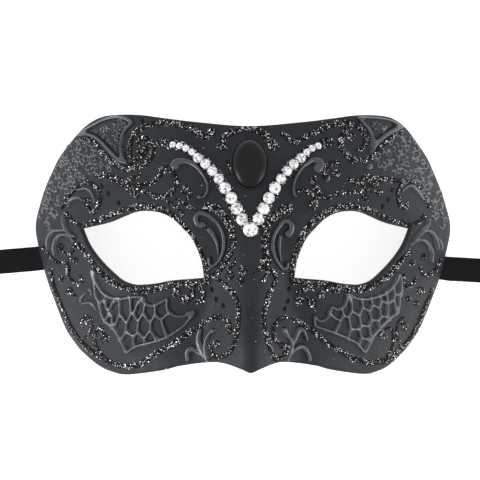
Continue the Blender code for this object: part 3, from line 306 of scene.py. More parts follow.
# Raised plates: the nets have ovals for cells, the corner panels a loop
PANELS = {
    "cheek_net_left": Panel(
        ((91.4, 270.6), (94, 269.4), (96.4, 272.8), (97.6, 279.4), (101.4, 286.4), (105.4, 291.6),
         (110.4, 295), (121.2, 296.8), (130, 295.4), (139, 294.8), (144.8, 296),
         (146.2, 301.6), (153.6, 303.6), (159.6, 301), (167.4, 297), (169.4, 299),
         (169.6, 308.6), (174.2, 313.4), (183, 314.2), (192.6, 310.2), (195.4, 312.6),
         (190.6, 320.8), (183.6, 328), (169.3, 337.6), (154.6, 343), (137, 347.6),
         (127.2, 353.4), (121.2, 343), (113.6, 329.6), (104.8, 321.6), (100.8, 313.6),
         (98.8, 303.4), (95, 295.4), (93.8, 284.4), (92.4, 276)),
        (Cell(104.6, 311.3, 2.7, 7.4, 4), Cell(110, 303, 2, 4.6, 18),
         Cell(101.8, 294.6, 1, 4.4, 24), Cell(115.3, 312.8, 3, 9, 0),
         Cell(111, 319.4, 2, 5.2, 26), Cell(126.8, 310.4, 3.5, 9.6, 0),
         Cell(121.6, 325.4, 3.7, 8.4, 6), Cell(133.2, 324.8, 3.8, 9.4, 4),
         Cell(134.8, 304.6, 1.7, 5.8, 8), Cell(129.4, 341, 3.6, 7.8, 6),
         Cell(139.2, 311.4, 2.6, 6.4, 10), Cell(144.9, 325.9, 4.2, 10.2, 4),
         Cell(149.8, 313.4, 3.4, 6.2, 6), Cell(161.6, 311.4, 3.2, 6.6, 10),
         Cell(157.6, 325.8, 4, 9, 4), Cell(139.6, 339, 3.4, 4.8, 20),
         Cell(150.6, 336.8, 3, 3.8, 40), Cell(171.8, 324.2, 4.4, 9, -56))),
    "cheek_net_right": Panel(
        ((312.4, 316), (315.4, 314.6), (318.4, 318.4), (323.2, 318.4), (326.8, 314.4),
         (328.6, 308.4), (331.8, 304.6), (336.4, 307.4), (341.2, 305.6), (344, 300.8),
         (345.4, 293.4), (349.6, 292.6), (355.5, 296.2), (362.5, 297.2), (370, 296.4),
         (382, 292.4), (390.2, 285.8), (394.6, 279.4), (397.4, 272.4), (401.6, 276.4),
         (402, 289), (400, 298), (399.4, 306), (396.6, 313.8), (390.8, 318.2),
         (381, 328), (372, 338.4), (369.6, 345), (364.4, 353.4), (359.6, 349.4),
         (354.6, 343.8), (345, 339), (333, 333.8), (315, 327.4), (312.4, 323.6)),
        (Cell(329.8, 323.2, 3.6, 7.4, 72), Cell(337.4, 314.6, 2.6, 3.4, 0),
         Cell(343.6, 325.8, 3.6, 8, 8), Cell(346.8, 308.6, 2.3, 5.4, 8),
         Cell(355.8, 306.4, 3.6, 6.8, -4), Cell(353.6, 320.4, 3.5, 7.8, -6),
         Cell(354.8, 335.4, 3.2, 6.4, -8), Cell(366.2, 303.8, 2.6, 4.6, -10),
         Cell(364, 317.2, 3.6, 7.8, -6), Cell(364.4, 331.6, 3.4, 6, -4),
         Cell(363.4, 344, 3, 5.6, -4), Cell(375.6, 301.4, 2.4, 4.4, -14),
         Cell(374.2, 312.8, 3.2, 6.2, -4), Cell(373, 326.8, 3, 6.4, 12),
         Cell(383.2, 297.8, 1.6, 3.2, -18), Cell(382.6, 308.6, 2.7, 6.4, -2),
         Cell(381.8, 321, 2.2, 4.4, 24), Cell(389.4, 294.6, 1.8, 5.6, 14),
         Cell(390.4, 308.4, 2.4, 6.6, 6), Cell(396.4, 285.6, 2.2, 6.4, 8),
         Cell(396.2, 300.6, 1.5, 4.6, 4))),
    "corner_panel_left": Panel(
        ((134.6, 122.6), (127.6, 117.6), (115.5, 115.9), (104.5, 118.1), (93.4, 123.6),
         (83.2, 129.6), (78.4, 134.4), (80.6, 137.2), (87.5, 135.9), (93.8, 138.2), (99.8, 142.4),
         (106.8, 150.2), (113.9, 157.8), (120.5, 163.4), (128.8, 164.4), (124.6, 154.8),
         (123.2, 147.2), (123.8, 139.9), (126.2, 133), (130.2, 128.2)),
        (((129.4, 122.6), (118.5, 119.2), (106, 121.4), (95.8, 126.4), (88.2, 131), (95, 133.6),
          (102, 138.4), (109.1, 146.1), (116, 153.6), (120.4, 157.4), (120.2, 147.4),
          (121, 139.2), (123.2, 131.4), (126.4, 126.6)),)),
    "corner_panel_right": Panel(
        ((357.6, 117), (372, 116.8), (386.5, 118.4), (397, 122.4), (402.6, 127.2), (399, 129.4),
         (393.5, 132.4), (388, 135.9), (382.3, 140.2), (376.7, 146), (370.9, 154.4),
         (370.4, 146), (370.2, 139.4), (367.8, 133.4), (364.4, 128.2), (360, 123.5)),
        (((363, 120), (372, 119.2), (386, 120.8), (394.2, 124.6), (391, 127.4),
          (386, 130.4), (380.3, 134.8), (375.6, 139.2), (373.4, 138.6), (371.3, 131.9),
          (367.8, 126.2)),)),
}

# Lines of glitter glue
GLITTER = {
    "glitter_eye_left": Figure(
        (Stroke(3, 4.4, 4.4, (
            (66.6, 213.6), (71.9, 220.6), (79.6, 225), (91.8, 222.8), (105.6, 217.4), (119.4, 211.3),
            (131.6, 207.5), (145.4, 206.2), (160.7, 209), (173, 216.6), (183.7, 227.2), (191.8, 238),
            (198.6, 250), (204.4, 263), (207.8, 276.4), (206.6, 282.2))),
         Stroke(4.4, 4.6, 3, (
            (206.6, 282.2), (199, 284), (183.7, 284.2), (168.4, 286), (153, 289.4), (142.4, 290.6),
            (131.6, 290), (117.6, 285.6), (105.4, 276.8), (95.8, 267), (88.6, 256.6), (82.4, 249.6),
            (77.4, 244.6), (73.4, 247.4))))),
    "glitter_eye_right": Figure(
        (Stroke(4.4, 4.4, 3, (
            (293, 281.6), (292.6, 271), (295, 257), (299.6, 243), (306.2, 230.2), (315.6, 219.4),
            (326.6, 212), (339.5, 207), (353.3, 206), (367, 209.2), (377.8, 214.4), (388.5, 219),
            (402.3, 222.6), (411.4, 225), (419.4, 221.4), (424.8, 215.6))),
         Stroke(4.4, 4.6, 3, (
            (293, 281.6), (304.3, 283), (319.6, 284), (334.9, 286.4), (350.2, 289.4), (362.5, 289.4),
            (374.7, 285), (386, 277.4), (395, 268.2), (404, 257), (410.6, 250.6))))),
    "glitter_cheek_left": Figure(
        (Stroke(2.4, 4, 4.2, (
            (50.6, 270.6), (55, 289.6), (62.8, 309.5), (70.8, 327), (81, 341.4), (93.4, 352.4),
            (107.9, 361), (119.8, 365.6), (134.7, 366), (147.4, 360), (159.6, 351.6), (173, 344.1),
            (185.2, 335.5), (195.4, 328.2), (206.6, 320.8), (219.4, 316.8), (227.6, 321.4),
            (229.4, 331.6))),)),
    "glitter_cheek_right": Figure(
        (Stroke(3, 4.2, 2.4, (
            (292, 318.9), (304.3, 325), (313.1, 331.3), (323.8, 340.5), (334.7, 348), (346.7, 355),
            (359.4, 360.4), (371.6, 362.8), (383.5, 361.3), (392.6, 356.6), (401.6, 347.8), (407.9, 341.6),
            (413.8, 333), (419.2, 321.6), (423.8, 310), (428.2, 299.6), (432, 289.4))),)),
    "glitter_forehead_left": Figure(
        (Stroke(3, 4.2, 4, (
            (80.4, 139.6), (88, 139.2), (94.6, 143), (99.6, 149.6), (107.2, 158), (115.6, 164.8),
            (124.4, 168.4), (133.4, 168.4), (142.6, 165.4), (149.6, 159.2), (152.6, 151), (150.8, 142.6),
            (145, 138), (138.6, 139.4))),
         Stroke(3.4, 4, 4.6, (
            (131.6, 167.6), (129.6, 151), (131.8, 137), (140, 129.4), (149.6, 124.6), (160.6, 122.8),
            (174, 123.6), (188.3, 128.1), (198, 133.4), (205.2, 136.4), (210.8, 132.6)))),
        (Dot(211, 132.4, 4.6),)),
    "glitter_forehead_right": Figure(
        (Stroke(3.4, 4.2, 3.4, (
            (282.2, 133.4), (287.5, 137.6), (293.6, 142), (301.2, 138.8), (311.9, 134), (324.2, 128.3),
            (336.4, 123.3), (347.8, 122.1), (356.4, 125.3), (363, 131.4), (365.8, 139.6), (364, 146.6),
            (358.4, 150.4))),
         Stroke(3.8, 4, 3, (
            (352.4, 123.4), (343.7, 133.9), (340.3, 143.6), (344.1, 152.4), (350.6, 158.6), (359.4, 161),
            (368.4, 159.2), (375.8, 153.8), (380.8, 147.2), (387.4, 140.8), (394.6, 134.8), (402, 131.9))))),
    "glitter_nose_left": Figure(
        (Stroke(6.4, 4.6, 4, (
            (207.8, 207.4), (215.4, 208.2), (223.6, 215.6), (229.6, 226.8), (232.7, 238.5), (231.9, 249.3),
            (227.1, 259.1), (221, 268.6), (214.4, 275.6))),),
        (Dot(208.4, 207.4, 5.2),)),
    "glitter_nose_right": Figure(
        (Stroke(6.4, 4.8, 4, (
            (289.6, 208.6), (281.6, 210.6), (272.6, 217.8), (266.6, 226.8), (265, 238.6), (265.2, 250.4),
            (266.2, 259.6), (268, 268.4), (275.6, 275.4))),),
        (Dot(288.6, 208.8, 5.2), Dot(266, 262, 5.6))),
    "glitter_arc": Figure(
        (Stroke(6, 3.8, 6, (
            (221.4, 146.6), (224.6, 138.4), (231.6, 132.4), (240.4, 129.6), (249.8, 129.2), (259.8, 131.8),
            (268, 137.6), (273.8, 147))),),
        (Dot(221.8, 145.6, 5), Dot(273.6, 146.4, 5))),
}

# Short glitter curls and blobs, which have no solids of their own
GLITTER_TRIM = {
    "glitter_trim_left": Figure(
        (Stroke(3.4, 4, 3.4, (
            (134.2, 185.2), (142.6, 190.8), (149.6, 193.6), (157.4, 196.4), (166.5, 195.7), (174.9, 188.7),
            (176.3, 181), (173.9, 173.2), (166.3, 167))),
         Stroke(3, 4.4, 3, ((163.7, 170.6), (159.5, 175.8), (153.2, 181.2), (145.4, 184.5))),
         Stroke(3.6, 6.4, 3.4, (
            (96.6, 175.6), (104.4, 175), (113.7, 178.3), (122.2, 182.6), (130.2, 189.6), (137.6, 197))),
         Stroke(5, 4.4, 2.4, ((124.6, 183.6), (131, 179.4), (139.4, 175.2))),
         Stroke(3, 4, 4, ((142.3, 184.4), (136.6, 186.2), (131.6, 190.6))),
         Stroke(4.4, 5.4, 3, (
            (138.6, 142.6), (144.4, 145.4), (144.8, 152.4), (140, 157.6), (134, 160.2))),
         Stroke(3.4, 4, 3, (
            (61.7, 207.5), (67.9, 197.1), (72.1, 192.2), (77.7, 187.3), (84, 184.3), (91, 183.4),
            (96.6, 187.4), (99.4, 193.2), (100.2, 199.5), (97, 207.5), (93.4, 212.6), (89.2, 208.4),
            (87, 202.4))),
         Stroke(3, 3.4, 2.4, ((168, 202), (175.4, 207), (182.4, 215))),
         Stroke(2.4, 3, 2, ((176.6, 199.6), (183.8, 203.4), (190, 206.6), (195.8, 209.8))),
         Stroke(3, 3.2, 2.2, ((185.4, 189.4), (190.9, 193.9), (186.4, 199.5))),
         Stroke(2.4, 3.4, 2.4, (
            (43.3, 247.7), (47.5, 253.3), (52.5, 258.9), (58, 262.6), (65.1, 262), (68.6, 268),
            (67.9, 274.7), (71.1, 279.6), (76.3, 283.5), (81.7, 283), (80.8, 275.5))),
         Stroke(3, 3.2, 2.4, ((73.6, 250.6), (69.6, 255.4), (72, 260.6), (76, 259.6))),
         Stroke(3, 3, 2, ((60.2, 246.3), (61.8, 251), (65.1, 254))),
         Stroke(3.4, 3.2, 2.4, (
            (85.6, 318.6), (91, 319.4), (92, 325.7), (89.6, 332.7), (86.1, 337), (80.6, 339.3))),
         Stroke(2.6, 3.4, 3, (
            (103.6, 335), (101.6, 327.1), (96.6, 330.6), (94.3, 337.6), (95.9, 345.3), (99.5, 352.8),
            (105.4, 358.7))),
         Stroke(3, 3.4, 2.4, ((68.8, 289.8), (71.6, 293.6), (75.6, 295.8))),
         Stroke(2.6, 3.4, 2.6, ((189.5, 289.4), (193.6, 292.2), (191.4, 297.6), (185.6, 299.6))),
         Stroke(2.6, 3.2, 2.4, ((199.2, 287.4), (203.7, 292.6), (202.2, 299), (197.4, 302))),
         Stroke(3.4, 4.4, 3.6, (
            (214.2, 277.6), (221.2, 281.7), (227.4, 286.9), (233.1, 293.7), (237.1, 301.4), (238.7, 313.1),
            (237.6, 327.1), (235.2, 340.1), (231.4, 349.9), (225.6, 355), (217.6, 357.8), (211.8, 353),
            (210.9, 345.9), (216.6, 342.6))),
         Stroke(3, 3.4, 2.4, ((228, 270.6), (232.4, 265), (236, 258.6))),
         Stroke(2.4, 2.8, 2, ((227.4, 162), (229.8, 167.6), (230.6, 174.2)))),
        (Dot(163.4, 168.6, 4.6), Dot(87.2, 201.4, 4.2), Dot(185.2, 189.6, 4.4), Dot(74.9, 260, 3.4),
         Dot(60.4, 246.6, 3.2), Dot(85.4, 319.6, 5.2), Dot(104.4, 338.6, 4.8), Dot(69.6, 290.8, 3.6),
         Dot(175.8, 292, 4.6), Dot(185.2, 299.4, 5), Dot(216.8, 343.8, 3.6), Dot(229.8, 275.4, 4.4),
         Dot(242.4, 270.6, 4.6), Dot(240.6, 280.4, 3.2), Dot(141.6, 151.8, 4.2), Dot(61.6, 278.6, 2.6))),
    "glitter_trim_right": Figure(
        (Stroke(5, 5, 4.4, (
            (337.5, 163), (330.4, 163.8), (324.4, 169.3), (324.3, 175.3), (327.6, 179.4))),
         Stroke(4.4, 4.8, 4, (
            (313, 179.8), (314.4, 185.1), (318.9, 189.4), (317.1, 195.7), (314.2, 202.3))),
         Stroke(3, 3.6, 2.4, (
            (298.1, 190.8), (304.4, 190), (310.4, 193.6), (321.4, 197.3), (331.2, 197.3), (338.4, 193.2),
            (345.2, 193), (355.4, 191.9), (366, 190.6), (377.7, 192.6))),
         Stroke(4, 6.8, 3, (
            (350.6, 180), (359, 182.6), (366.4, 177), (374.6, 179.6), (384.3, 179), (394.7, 180.3),
            (405.6, 181.6))),
         Stroke(3, 4.6, 2.6, ((362.5, 187.2), (369.4, 184.8), (376.7, 186.6))),
         Stroke(2.6, 3.8, 3, (
            (413.4, 183), (407, 182), (401.5, 185), (398.6, 191.1), (398.1, 198.5), (400.6, 205.7),
            (405.4, 208), (407.6, 202.2))),
         Stroke(2.4, 3, 2.6, ((418.2, 187.2), (422.4, 192.2), (426, 199.4), (428.2, 207))),
         Stroke(2.8, 3.2, 2.4, (
            (403.9, 275.4), (404.4, 281.8), (407.6, 287.6), (412.2, 284.4), (416.1, 278.3))),
         Stroke(2.4, 3.2, 2.6, (
            (440.2, 259.6), (437, 266.2), (432.8, 272), (427.1, 275.4), (422.2, 273.8), (419.9, 267.9))),
         Stroke(2.8, 2.8, 2.6, (
            (403.4, 318), (399, 321.6), (397, 328.4), (397.4, 338.2), (402.4, 348.6))),
         Stroke(2.6, 2.8, 2.4, (
            (386, 329), (391, 328.6), (393.6, 336.4), (392.6, 347), (387.5, 356.5))),
         Stroke(3, 3.6, 3, ((297.5, 292.7), (303.8, 290.4), (312, 288.9))),
         Stroke(2.8, 3.4, 3, ((307.3, 297.6), (309.6, 301.6), (313.3, 304.3))),
         Stroke(2.4, 3, 2.4, ((326.3, 289.1), (331.4, 291), (337.4, 292.2))),
         Stroke(3.4, 4.4, 3.6, (
            (276.4, 278.6), (273.6, 284.9), (269.1, 293), (266.3, 302.9), (264.6, 313.1), (264.3, 323.6),
            (266.5, 334.1), (268.9, 344.2), (272, 352.6), (275.8, 360.1), (281.1, 357.5), (285.7, 351.9),
            (287.9, 344.6))),
         Stroke(3.4, 3.6, 3, (
            (284.9, 317.3), (277.9, 320.4), (273.9, 326.4), (273.2, 333.4), (274.7, 340.1), (279.5, 344.4))),
         Stroke(2.6, 3, 2.4, ((268.6, 271), (265.6, 276.6), (262, 282)))),
        (Dot(336, 173.6, 4), Dot(313, 179.4, 3.4), Dot(313, 204.6, 4.6), Dot(350.8, 136.4, 4),
         Dot(365.4, 197.8, 3.8), Dot(379, 192.4, 3.2), Dot(412.4, 263.4, 3.8), Dot(424, 256.6, 3.2),
         Dot(420.4, 290.6, 4.2), Dot(408.2, 298.8, 2.8), Dot(416.4, 303.4, 3), Dot(404.2, 326.6, 4.8),
         Dot(383, 335.2, 4.8), Dot(299.6, 300.8, 4.6), Dot(312.4, 303.6, 4.8), Dot(321.2, 294.6, 3.8),
         Dot(259.8, 268.6, 2.8), Dot(282.6, 345.6, 3.6))),
}

# Small stucco leaves and a pebble between the larger figures
STUCCO_TRIM = {
    "stucco_trim_left": Figure(
        (Stroke(1.8, 2.8, 1.6, (
            (68.6, 206.2), (69.4, 202), (73.5, 198.7), (79.1, 198), (82.3, 200.3))),
         Stroke(1.8, 2.8, 1.8, (
            (78.1, 190.3), (85.1, 188.9), (90.4, 191), (93.4, 195.7), (94.9, 202.3))),
         Stroke(1.6, 2.6, 1.4, ((81, 301.3), (82.1, 296.9), (86.5, 292.5))),
         Stroke(1.4, 2.4, 1.4, ((89.9, 287.6), (92.1, 291.3), (91.7, 295.1))),
         Stroke(1.6, 2.4, 1.4, ((82.9, 303.3), (89.6, 302), (94.1, 304.9), (97, 310.2))))),
    "stucco_trim_right": Figure(
        (Stroke(1.6, 2.4, 1.6, (
            (402.5, 191.2), (406.9, 187), (412.1, 186.3), (417.9, 192), (423.7, 199.6))),
         Stroke(1.6, 2.4, 1.6, ((441.4, 250), (440.6, 244), (438, 238.4)))),
        (Dot(369.6, 166.9, 3.2),)),
}

# Drops of bare glue: their middles
GLUE_DROPS = {
    "glue_drops_left": (
        (142, 120.6), (101.6, 185.9), (107.9, 192.9), (118.4, 202.7), (211.7, 289.5), (215.9, 299),
        (223, 305.3)),
    "glue_drops_right": (
        (392.7, 189.4), (388.5, 199.2), (382.9, 206.2), (289.1, 288.5), (288.1, 300.8), (284.9, 308.5)),
}

# Skins of small curls at the temples and in the corner panels: each region's edge
SKIN_FIELDS = {
    "temple_skin_left": (
        (79.5, 137), (88, 139.5), (97, 149), (104, 160), (113, 168), (105, 174),
        (92, 176), (82, 181), (70, 188), (61, 200), (57, 208), (54, 224),
        (46, 234), (38.5, 226), (43.5, 204), (49.5, 186), (57.5, 166), (67.5, 148)),
    "temple_skin_right": (
        (401, 128), (410, 138), (418.5, 148), (427, 162), (435, 181), (441.5, 200),
        (446.5, 222), (443, 236), (434, 226), (430, 210), (424, 194), (413, 179),
        (402, 174), (388, 172), (375, 168), (377, 156), (384, 146), (392, 137)),
    "corner_skin_left": (
        (96, 128), (106, 122.6), (118, 120.6), (128, 123.6), (124, 130), (120.6, 139),
        (119, 147), (119, 155), (114, 150), (107, 142), (99, 134.6), (92, 131)),
    "corner_skin_right": (
        (364, 121), (373, 120.6), (386, 122), (391, 125.4), (385, 129), (379, 133.4),
        (375, 137.4), (372.6, 131.4), (369, 126)),
}


def natural_spline(knots: Sequence[float], values: Sequence[float]) -> Callable[[Array], Array]:
    """Make a curve through knots that is smooth in slope and curvature.

    Args:
        knots: Places of the values, in any order.
        values: The curve's values there.

    Returns:
        The curve, as a function of an array of places.
    """
    order = np.argsort(knots)
    knot = np.asarray(knots, float)[order]
    value = np.asarray(values, float)[order]
    step = np.diff(knot)
    slope = np.diff(value) / step
    count = len(knot)
    system = np.eye(count)
    load = np.zeros(count)
    for i in range(1, count - 1):
        system[i, i - 1:i + 2] = step[i - 1], 2 * (step[i - 1] + step[i]), step[i]
        load[i] = 6 * (slope[i] - slope[i - 1])
    bend = np.linalg.solve(system, load)

    def curve(at: Array) -> Array:
        """Value of the curve at each place."""
        at = np.clip(at, knot[0], knot[-1])
        i = np.clip(np.searchsorted(knot, at) - 1, 0, count - 2)
        before = (knot[i + 1] - at) / step[i]
        after = 1 - before
        cubic = (before ** 3 - before) * bend[i] + (after ** 3 - after) * bend[i + 1]
        return before * value[i] + after * value[i + 1] + cubic * step[i] ** 2 / 6

    return curve


def smooth_path(points: Sequence, spacing: float, closed: bool = False) -> Array:
    """Space points evenly along a Catmull-Rom curve.

    Args:
        points: The curve's own points.
        spacing: Distance between the new points.
        closed: Whether the curve comes back to its start.

    Returns:
        The new points, without the repeated first one where closed.
    """
    knots = np.asarray(points, float)
    if closed:
        knots = np.vstack([knots[-1], knots, knots[0], knots[1]])
    else:
        knots = np.vstack([2 * knots[0] - knots[1], knots, 2 * knots[-1] - knots[-2]])
    share = np.linspace(0, 1, CURVE_STEPS, endpoint=False)[:, None]
    dense = []
    for a, b, c, d in zip(knots, knots[1:], knots[2:], knots[3:]):
        curve = 2 * b + (c - a) * share + (2 * a - 5 * b + 4 * c - d) * share ** 2
        dense.append((curve + (3 * b - a - 3 * c + d) * share ** 3) / 2)
    dense.append(knots[-2:-1])
    dense = np.vstack(dense)
    travelled = np.concatenate([[0], np.cumsum(np.linalg.norm(np.diff(dense, axis=0), axis=1))])
    count = max(2, round(travelled[-1] / spacing))
    stops = np.linspace(0, travelled[-1], count + 1)
    path = np.stack([np.interp(stops, travelled, column) for column in dense.T], axis=-1)
    return path[:-1] if closed else path


def turned(loop: Array, sense: int) -> Array:
    """A loop run counterclockwise for a sense of 1, clockwise for -1."""
    beyond = np.roll(loop, -1, axis=0)
    area = np.sum(loop[:, 0] * beyond[:, 1] - beyond[:, 0] * loop[:, 1])
    return loop if area * sense > 0 else loop[::-1]


def held_by(loop: Array, points: Array) -> Array:
    """Whether each point is inside a closed loop.

    Args:
        loop: The loop's points.
        points: The points to test.

    Returns:
        A mask of the points.
    """
    held = np.zeros(len(points), bool)
    for (ax, ay), (bx, by) in zip(loop, np.roll(loop, -1, axis=0)):
        if ay != by:
            crosses = (ay > points[:, 1]) != (by > points[:, 1])
            held ^= crosses & (points[:, 0] < ax + (points[:, 1] - ay) * (bx - ax) / (by - ay))
    return held


def make_object(name: str, vertices: Array, faces: list[Array], finishes: Sequence[bpy.types.Material],
                smooth: bool = True, face_finish: Array | None = None) -> bpy.types.Object:
    """Make a mesh object from arrays.

    Args:
        name: The object's name.
        vertices: Points, one a row.
        faces: Arrays of faces, each with its own number of corners.
        finishes: The object's materials.
        smooth: Whether the faces are shaded smooth.
        face_finish: Material number of each face, or None for the first one.

    Returns:
        The new object, in the scene.
    """
    mesh = bpy.data.meshes.new(name)
    corners = np.concatenate([part.ravel() for part in faces]).astype(np.int32)
    sizes = np.concatenate([np.full(len(part), part.shape[1]) for part in faces])
    starts = np.concatenate([[0], np.cumsum(sizes)[:-1]]).astype(np.int32)
    mesh.vertices.add(len(vertices))
    mesh.vertices.foreach_set("co", np.asarray(vertices, np.float32).ravel())
    mesh.loops.add(len(corners))
    mesh.loops.foreach_set("vertex_index", corners)
    mesh.polygons.add(len(sizes))
    mesh.polygons.foreach_set("loop_start", starts)
    for finish in finishes:
        mesh.materials.append(finish)
    if face_finish is not None:
        mesh.polygons.foreach_set("material_index", np.asarray(face_finish, np.int32))
    mesh.polygons.foreach_set("use_smooth", np.full(len(sizes), smooth))
    mesh.update(calc_edges=True)
    mesh.validate()
    made = bpy.data.objects.new(name, mesh)
    bpy.context.scene.collection.objects.link(made)
    return made


def band_quads(sides: int, layers: int, closed: bool = False) -> Array:
    """Quads between rings of points that lie one after another.

    Args:
        sides: Points a ring.
        layers: How many rings there are.
        closed: Whether the last ring joins the first.

    Returns:
        The quads, one a row.
    """
    here = np.arange(layers if closed else layers - 1)[:, None] * sides
    there = (here + sides) % (layers * sides)
    start = np.arange(sides)
    beside = (start + 1) % sides
    return np.stack([start + here, beside + here, beside + there, start + there], axis=-1).reshape(-1, 4)


def settle(piece: bpy.types.Object, slot: Slot, *nodes: str) -> bpy.types.Object:
    """Fix a piece to the mask's body and let it stand for CAD nodes.

    Args:
        piece: The finished piece.
        slot: The record's slot that it is painted from; not used.
        nodes: CAD nodes that it stands for.

    Returns:
        The piece.
    """
    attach(piece, "root")
    if nodes:
        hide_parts(*nodes)
    LOG.info("%s: %d faces", piece.name, len(piece.data.polygons))
    return piece


def paint_faces(piece: bpy.types.Object, name: str, shades: Array) -> None:
    """Store a grey shade for each face as a corner colour.

    Args:
        piece: The mesh object.
        name: The attribute's name.
        shades: One value a face.
    """
    mesh = piece.data
    sizes = np.zeros(len(mesh.polygons), np.int32)
    mesh.polygons.foreach_get("loop_total", sizes)
    grey = np.repeat(shades, sizes)
    colours = np.stack([grey, grey, grey * COOLNESS, np.ones_like(grey)], axis=-1)
    layer = mesh.attributes.new(name, "FLOAT_COLOR", "CORNER")
    layer.data.foreach_set("color", colours.astype(np.float32).ravel())


class Signal:
    """A shader socket that takes part in Python arithmetic."""

    def __init__(self, recipe: "ShaderRecipe", socket: bpy.types.NodeSocket) -> None:
        """Wrap a socket of the recipe's tree."""
        self.recipe = recipe
        self.socket = socket

    def _maths(self, operation: str, first: Any, second: Any) -> "Signal":
        """Add one Math node and return its result."""
        return self.recipe.node("ShaderNodeMath", {"operation": operation}, {0: first, 1: second}).out()

    def __mul__(self, other: Any) -> "Signal":
        """Product of this and another value."""
        return self._maths("MULTIPLY", self, other)

    __rmul__ = __mul__


class RecipeNode:
    """A node of a shader recipe."""

    def __init__(self, recipe: "ShaderRecipe", made: bpy.types.Node) -> None:
        """Keep the node and the recipe that it is in."""
        self.recipe = recipe
        self.made = made

    def out(self, socket: str | int = 0) -> Signal:
        """One of the node's outputs, by name or number."""
        return Signal(self.recipe, self.made.outputs[socket])


class ShaderRecipe:
    """A material's node tree while it is being written."""

    def __init__(self, name: str) -> None:
        """Start a material with an empty tree."""
        self.material = bpy.data.materials.new(name)
        self.material.use_nodes = True
        self.tree = self.material.node_tree
        self.tree.nodes.clear()

    def node(self, kind: str, settings: dict[str, Any] | None = None,
             sockets: dict[str | int, Any] | None = None) -> RecipeNode:
        """Add a node.

        Args:
            kind: Blender's node type.
            settings: The node's own settings, which are set first.
            sockets: Values or signals for its inputs, by name or number.

        Returns:
            The new node.
        """
        made = self.tree.nodes.new(kind)
        for key, value in (settings or {}).items():
            setattr(made, key, value)
        for key, value in (sockets or {}).items():
            if isinstance(value, Signal):
                self.tree.links.new(value.socket, made.inputs[key])
            else:
                made.inputs[key].default_value = value
        return RecipeNode(self, made)

    def place(self) -> Signal:
        """Position on the object, in metres."""
        return self.node("ShaderNodeTexCoord").out("Object")

    def noise(self, scale: float, detail: float = 2.0, roughness: float = 0.5) -> Signal:
        """Noise from 0 to 1 with about scale lumps a metre."""
        return self.node("ShaderNodeTexNoise", None, {
            "Vector": self.place(), "Scale": scale, "Detail": detail, "Roughness": roughness}).out("Fac")

    def cells(self, scale: float, output: str) -> Signal:
        """Cell pattern with about scale cells a metre."""
        return self.node("ShaderNodeTexVoronoi", None, {
            "Vector": self.place(), "Scale": scale}).out(output)

    def ramp(self, signal: Signal, low: float, high: float, bottom: float = 0.0, top: float = 1.0) -> Signal:
        """Stretch a signal's range low to high onto bottom to top."""
        return self.node("ShaderNodeMapRange", {"clamp": True}, {
            "Value": signal, "From Min": low, "From Max": high, "To Min": bottom, "To Max": top}).out()

    def blend(self, share: Signal, first: Any, second: Any) -> Signal:
        """Mix two colours by a share."""
        return self.node("ShaderNodeMix", {"data_type": "RGBA"}, {
            "Factor": share, 6: first, 7: second}).out(2)

    def bump(self, height: Signal, distance: float, under: Signal | None = None) -> Signal:
        """Turn a height into a normal.

        Args:
            height: Height from 0 to 1.
            distance: What a height of 1 stands for, in metres.
            under: A coarser normal that it lies on.

        Returns:
            The normal.
        """
        sockets = {"Height": height, "Distance": distance, "Strength": 1.0}
        if under is not None:
            sockets["Normal"] = under
        return self.node("ShaderNodeBump", None, sockets).out("Normal")

    def finish(self, sockets: dict[str, Any]) -> bpy.types.Material:
        """End the tree in a Principled shader.

        Args:
            sockets: Values or signals for the shader.

        Returns:
            The material.
        """
        shader = self.node("ShaderNodeBsdfPrincipled", None, sockets)
        self.node("ShaderNodeOutputMaterial", None, {"Surface": shader.out()})
        return self.material


def rgba(colour: Sequence[float]) -> tuple[float, ...]:
    """A colour with full alpha."""
    return (*colour, 1.0)


@dataclass(frozen=True)
class CharcoalPaint:
    """Satin charcoal paint, brushed by hand over plaster."""

    name: str = "charcoal_paint"
    dark: tuple = (0.0168, 0.0192, 0.0222)
    light: tuple = (0.0228, 0.0258, 0.0296)
    roughness: float = 0.46
    gloss: float = 0.17
    tint: tuple = (0.90, 0.96, 1.0)
    uneven: tuple = (-0.06, 0.08)
    cloud_scale: float = 55.0
    cloud_span: tuple = (0.32, 0.68)
    lump_scale: float = 240.0
    lump: float = 0.00022
    grain_scale: float = 1400.0
    grain: float = 0.00005

    def material(self) -> bpy.types.Material:
        """Build the paint's material."""
        recipe = ShaderRecipe(self.name)
        cloud = recipe.ramp(recipe.noise(self.cloud_scale, 3.0), *self.cloud_span)
        fine = recipe.noise(self.grain_scale, 2.0, 0.6)
        lumps = recipe.noise(self.lump_scale, 3.0, 0.55)
        return recipe.finish({
            "Base Color": recipe.blend(cloud, rgba(self.dark), rgba(self.light)),
            "Roughness": recipe.ramp(fine, *NOISE_SPAN, *(self.roughness + more for more in self.uneven)),
            "Specular IOR Level": self.gloss, "Specular Tint": rgba(self.tint),
            "Normal": recipe.bump(fine, self.grain, recipe.bump(lumps, self.lump))})


@dataclass(frozen=True)
class InsidePaint:
    """Matt black paint on the inside of the shell."""

    name: str = "inside_paint"
    dark: tuple = (0.011, 0.011, 0.012)
    light: tuple = (0.024, 0.024, 0.026)
    roughness: float = 0.82
    brush_scale: float = 520.0
    brush_depth: float = 0.0003

    def material(self) -> bpy.types.Material:
        """Build the paint's material."""
        recipe = ShaderRecipe(self.name)
        brushed = recipe.noise(self.brush_scale, 4.0, 0.65)
        return recipe.finish({
            "Base Color": recipe.blend(brushed, rgba(self.dark), rgba(self.light)),
            "Roughness": self.roughness,
            "Normal": recipe.bump(brushed, self.brush_depth)})


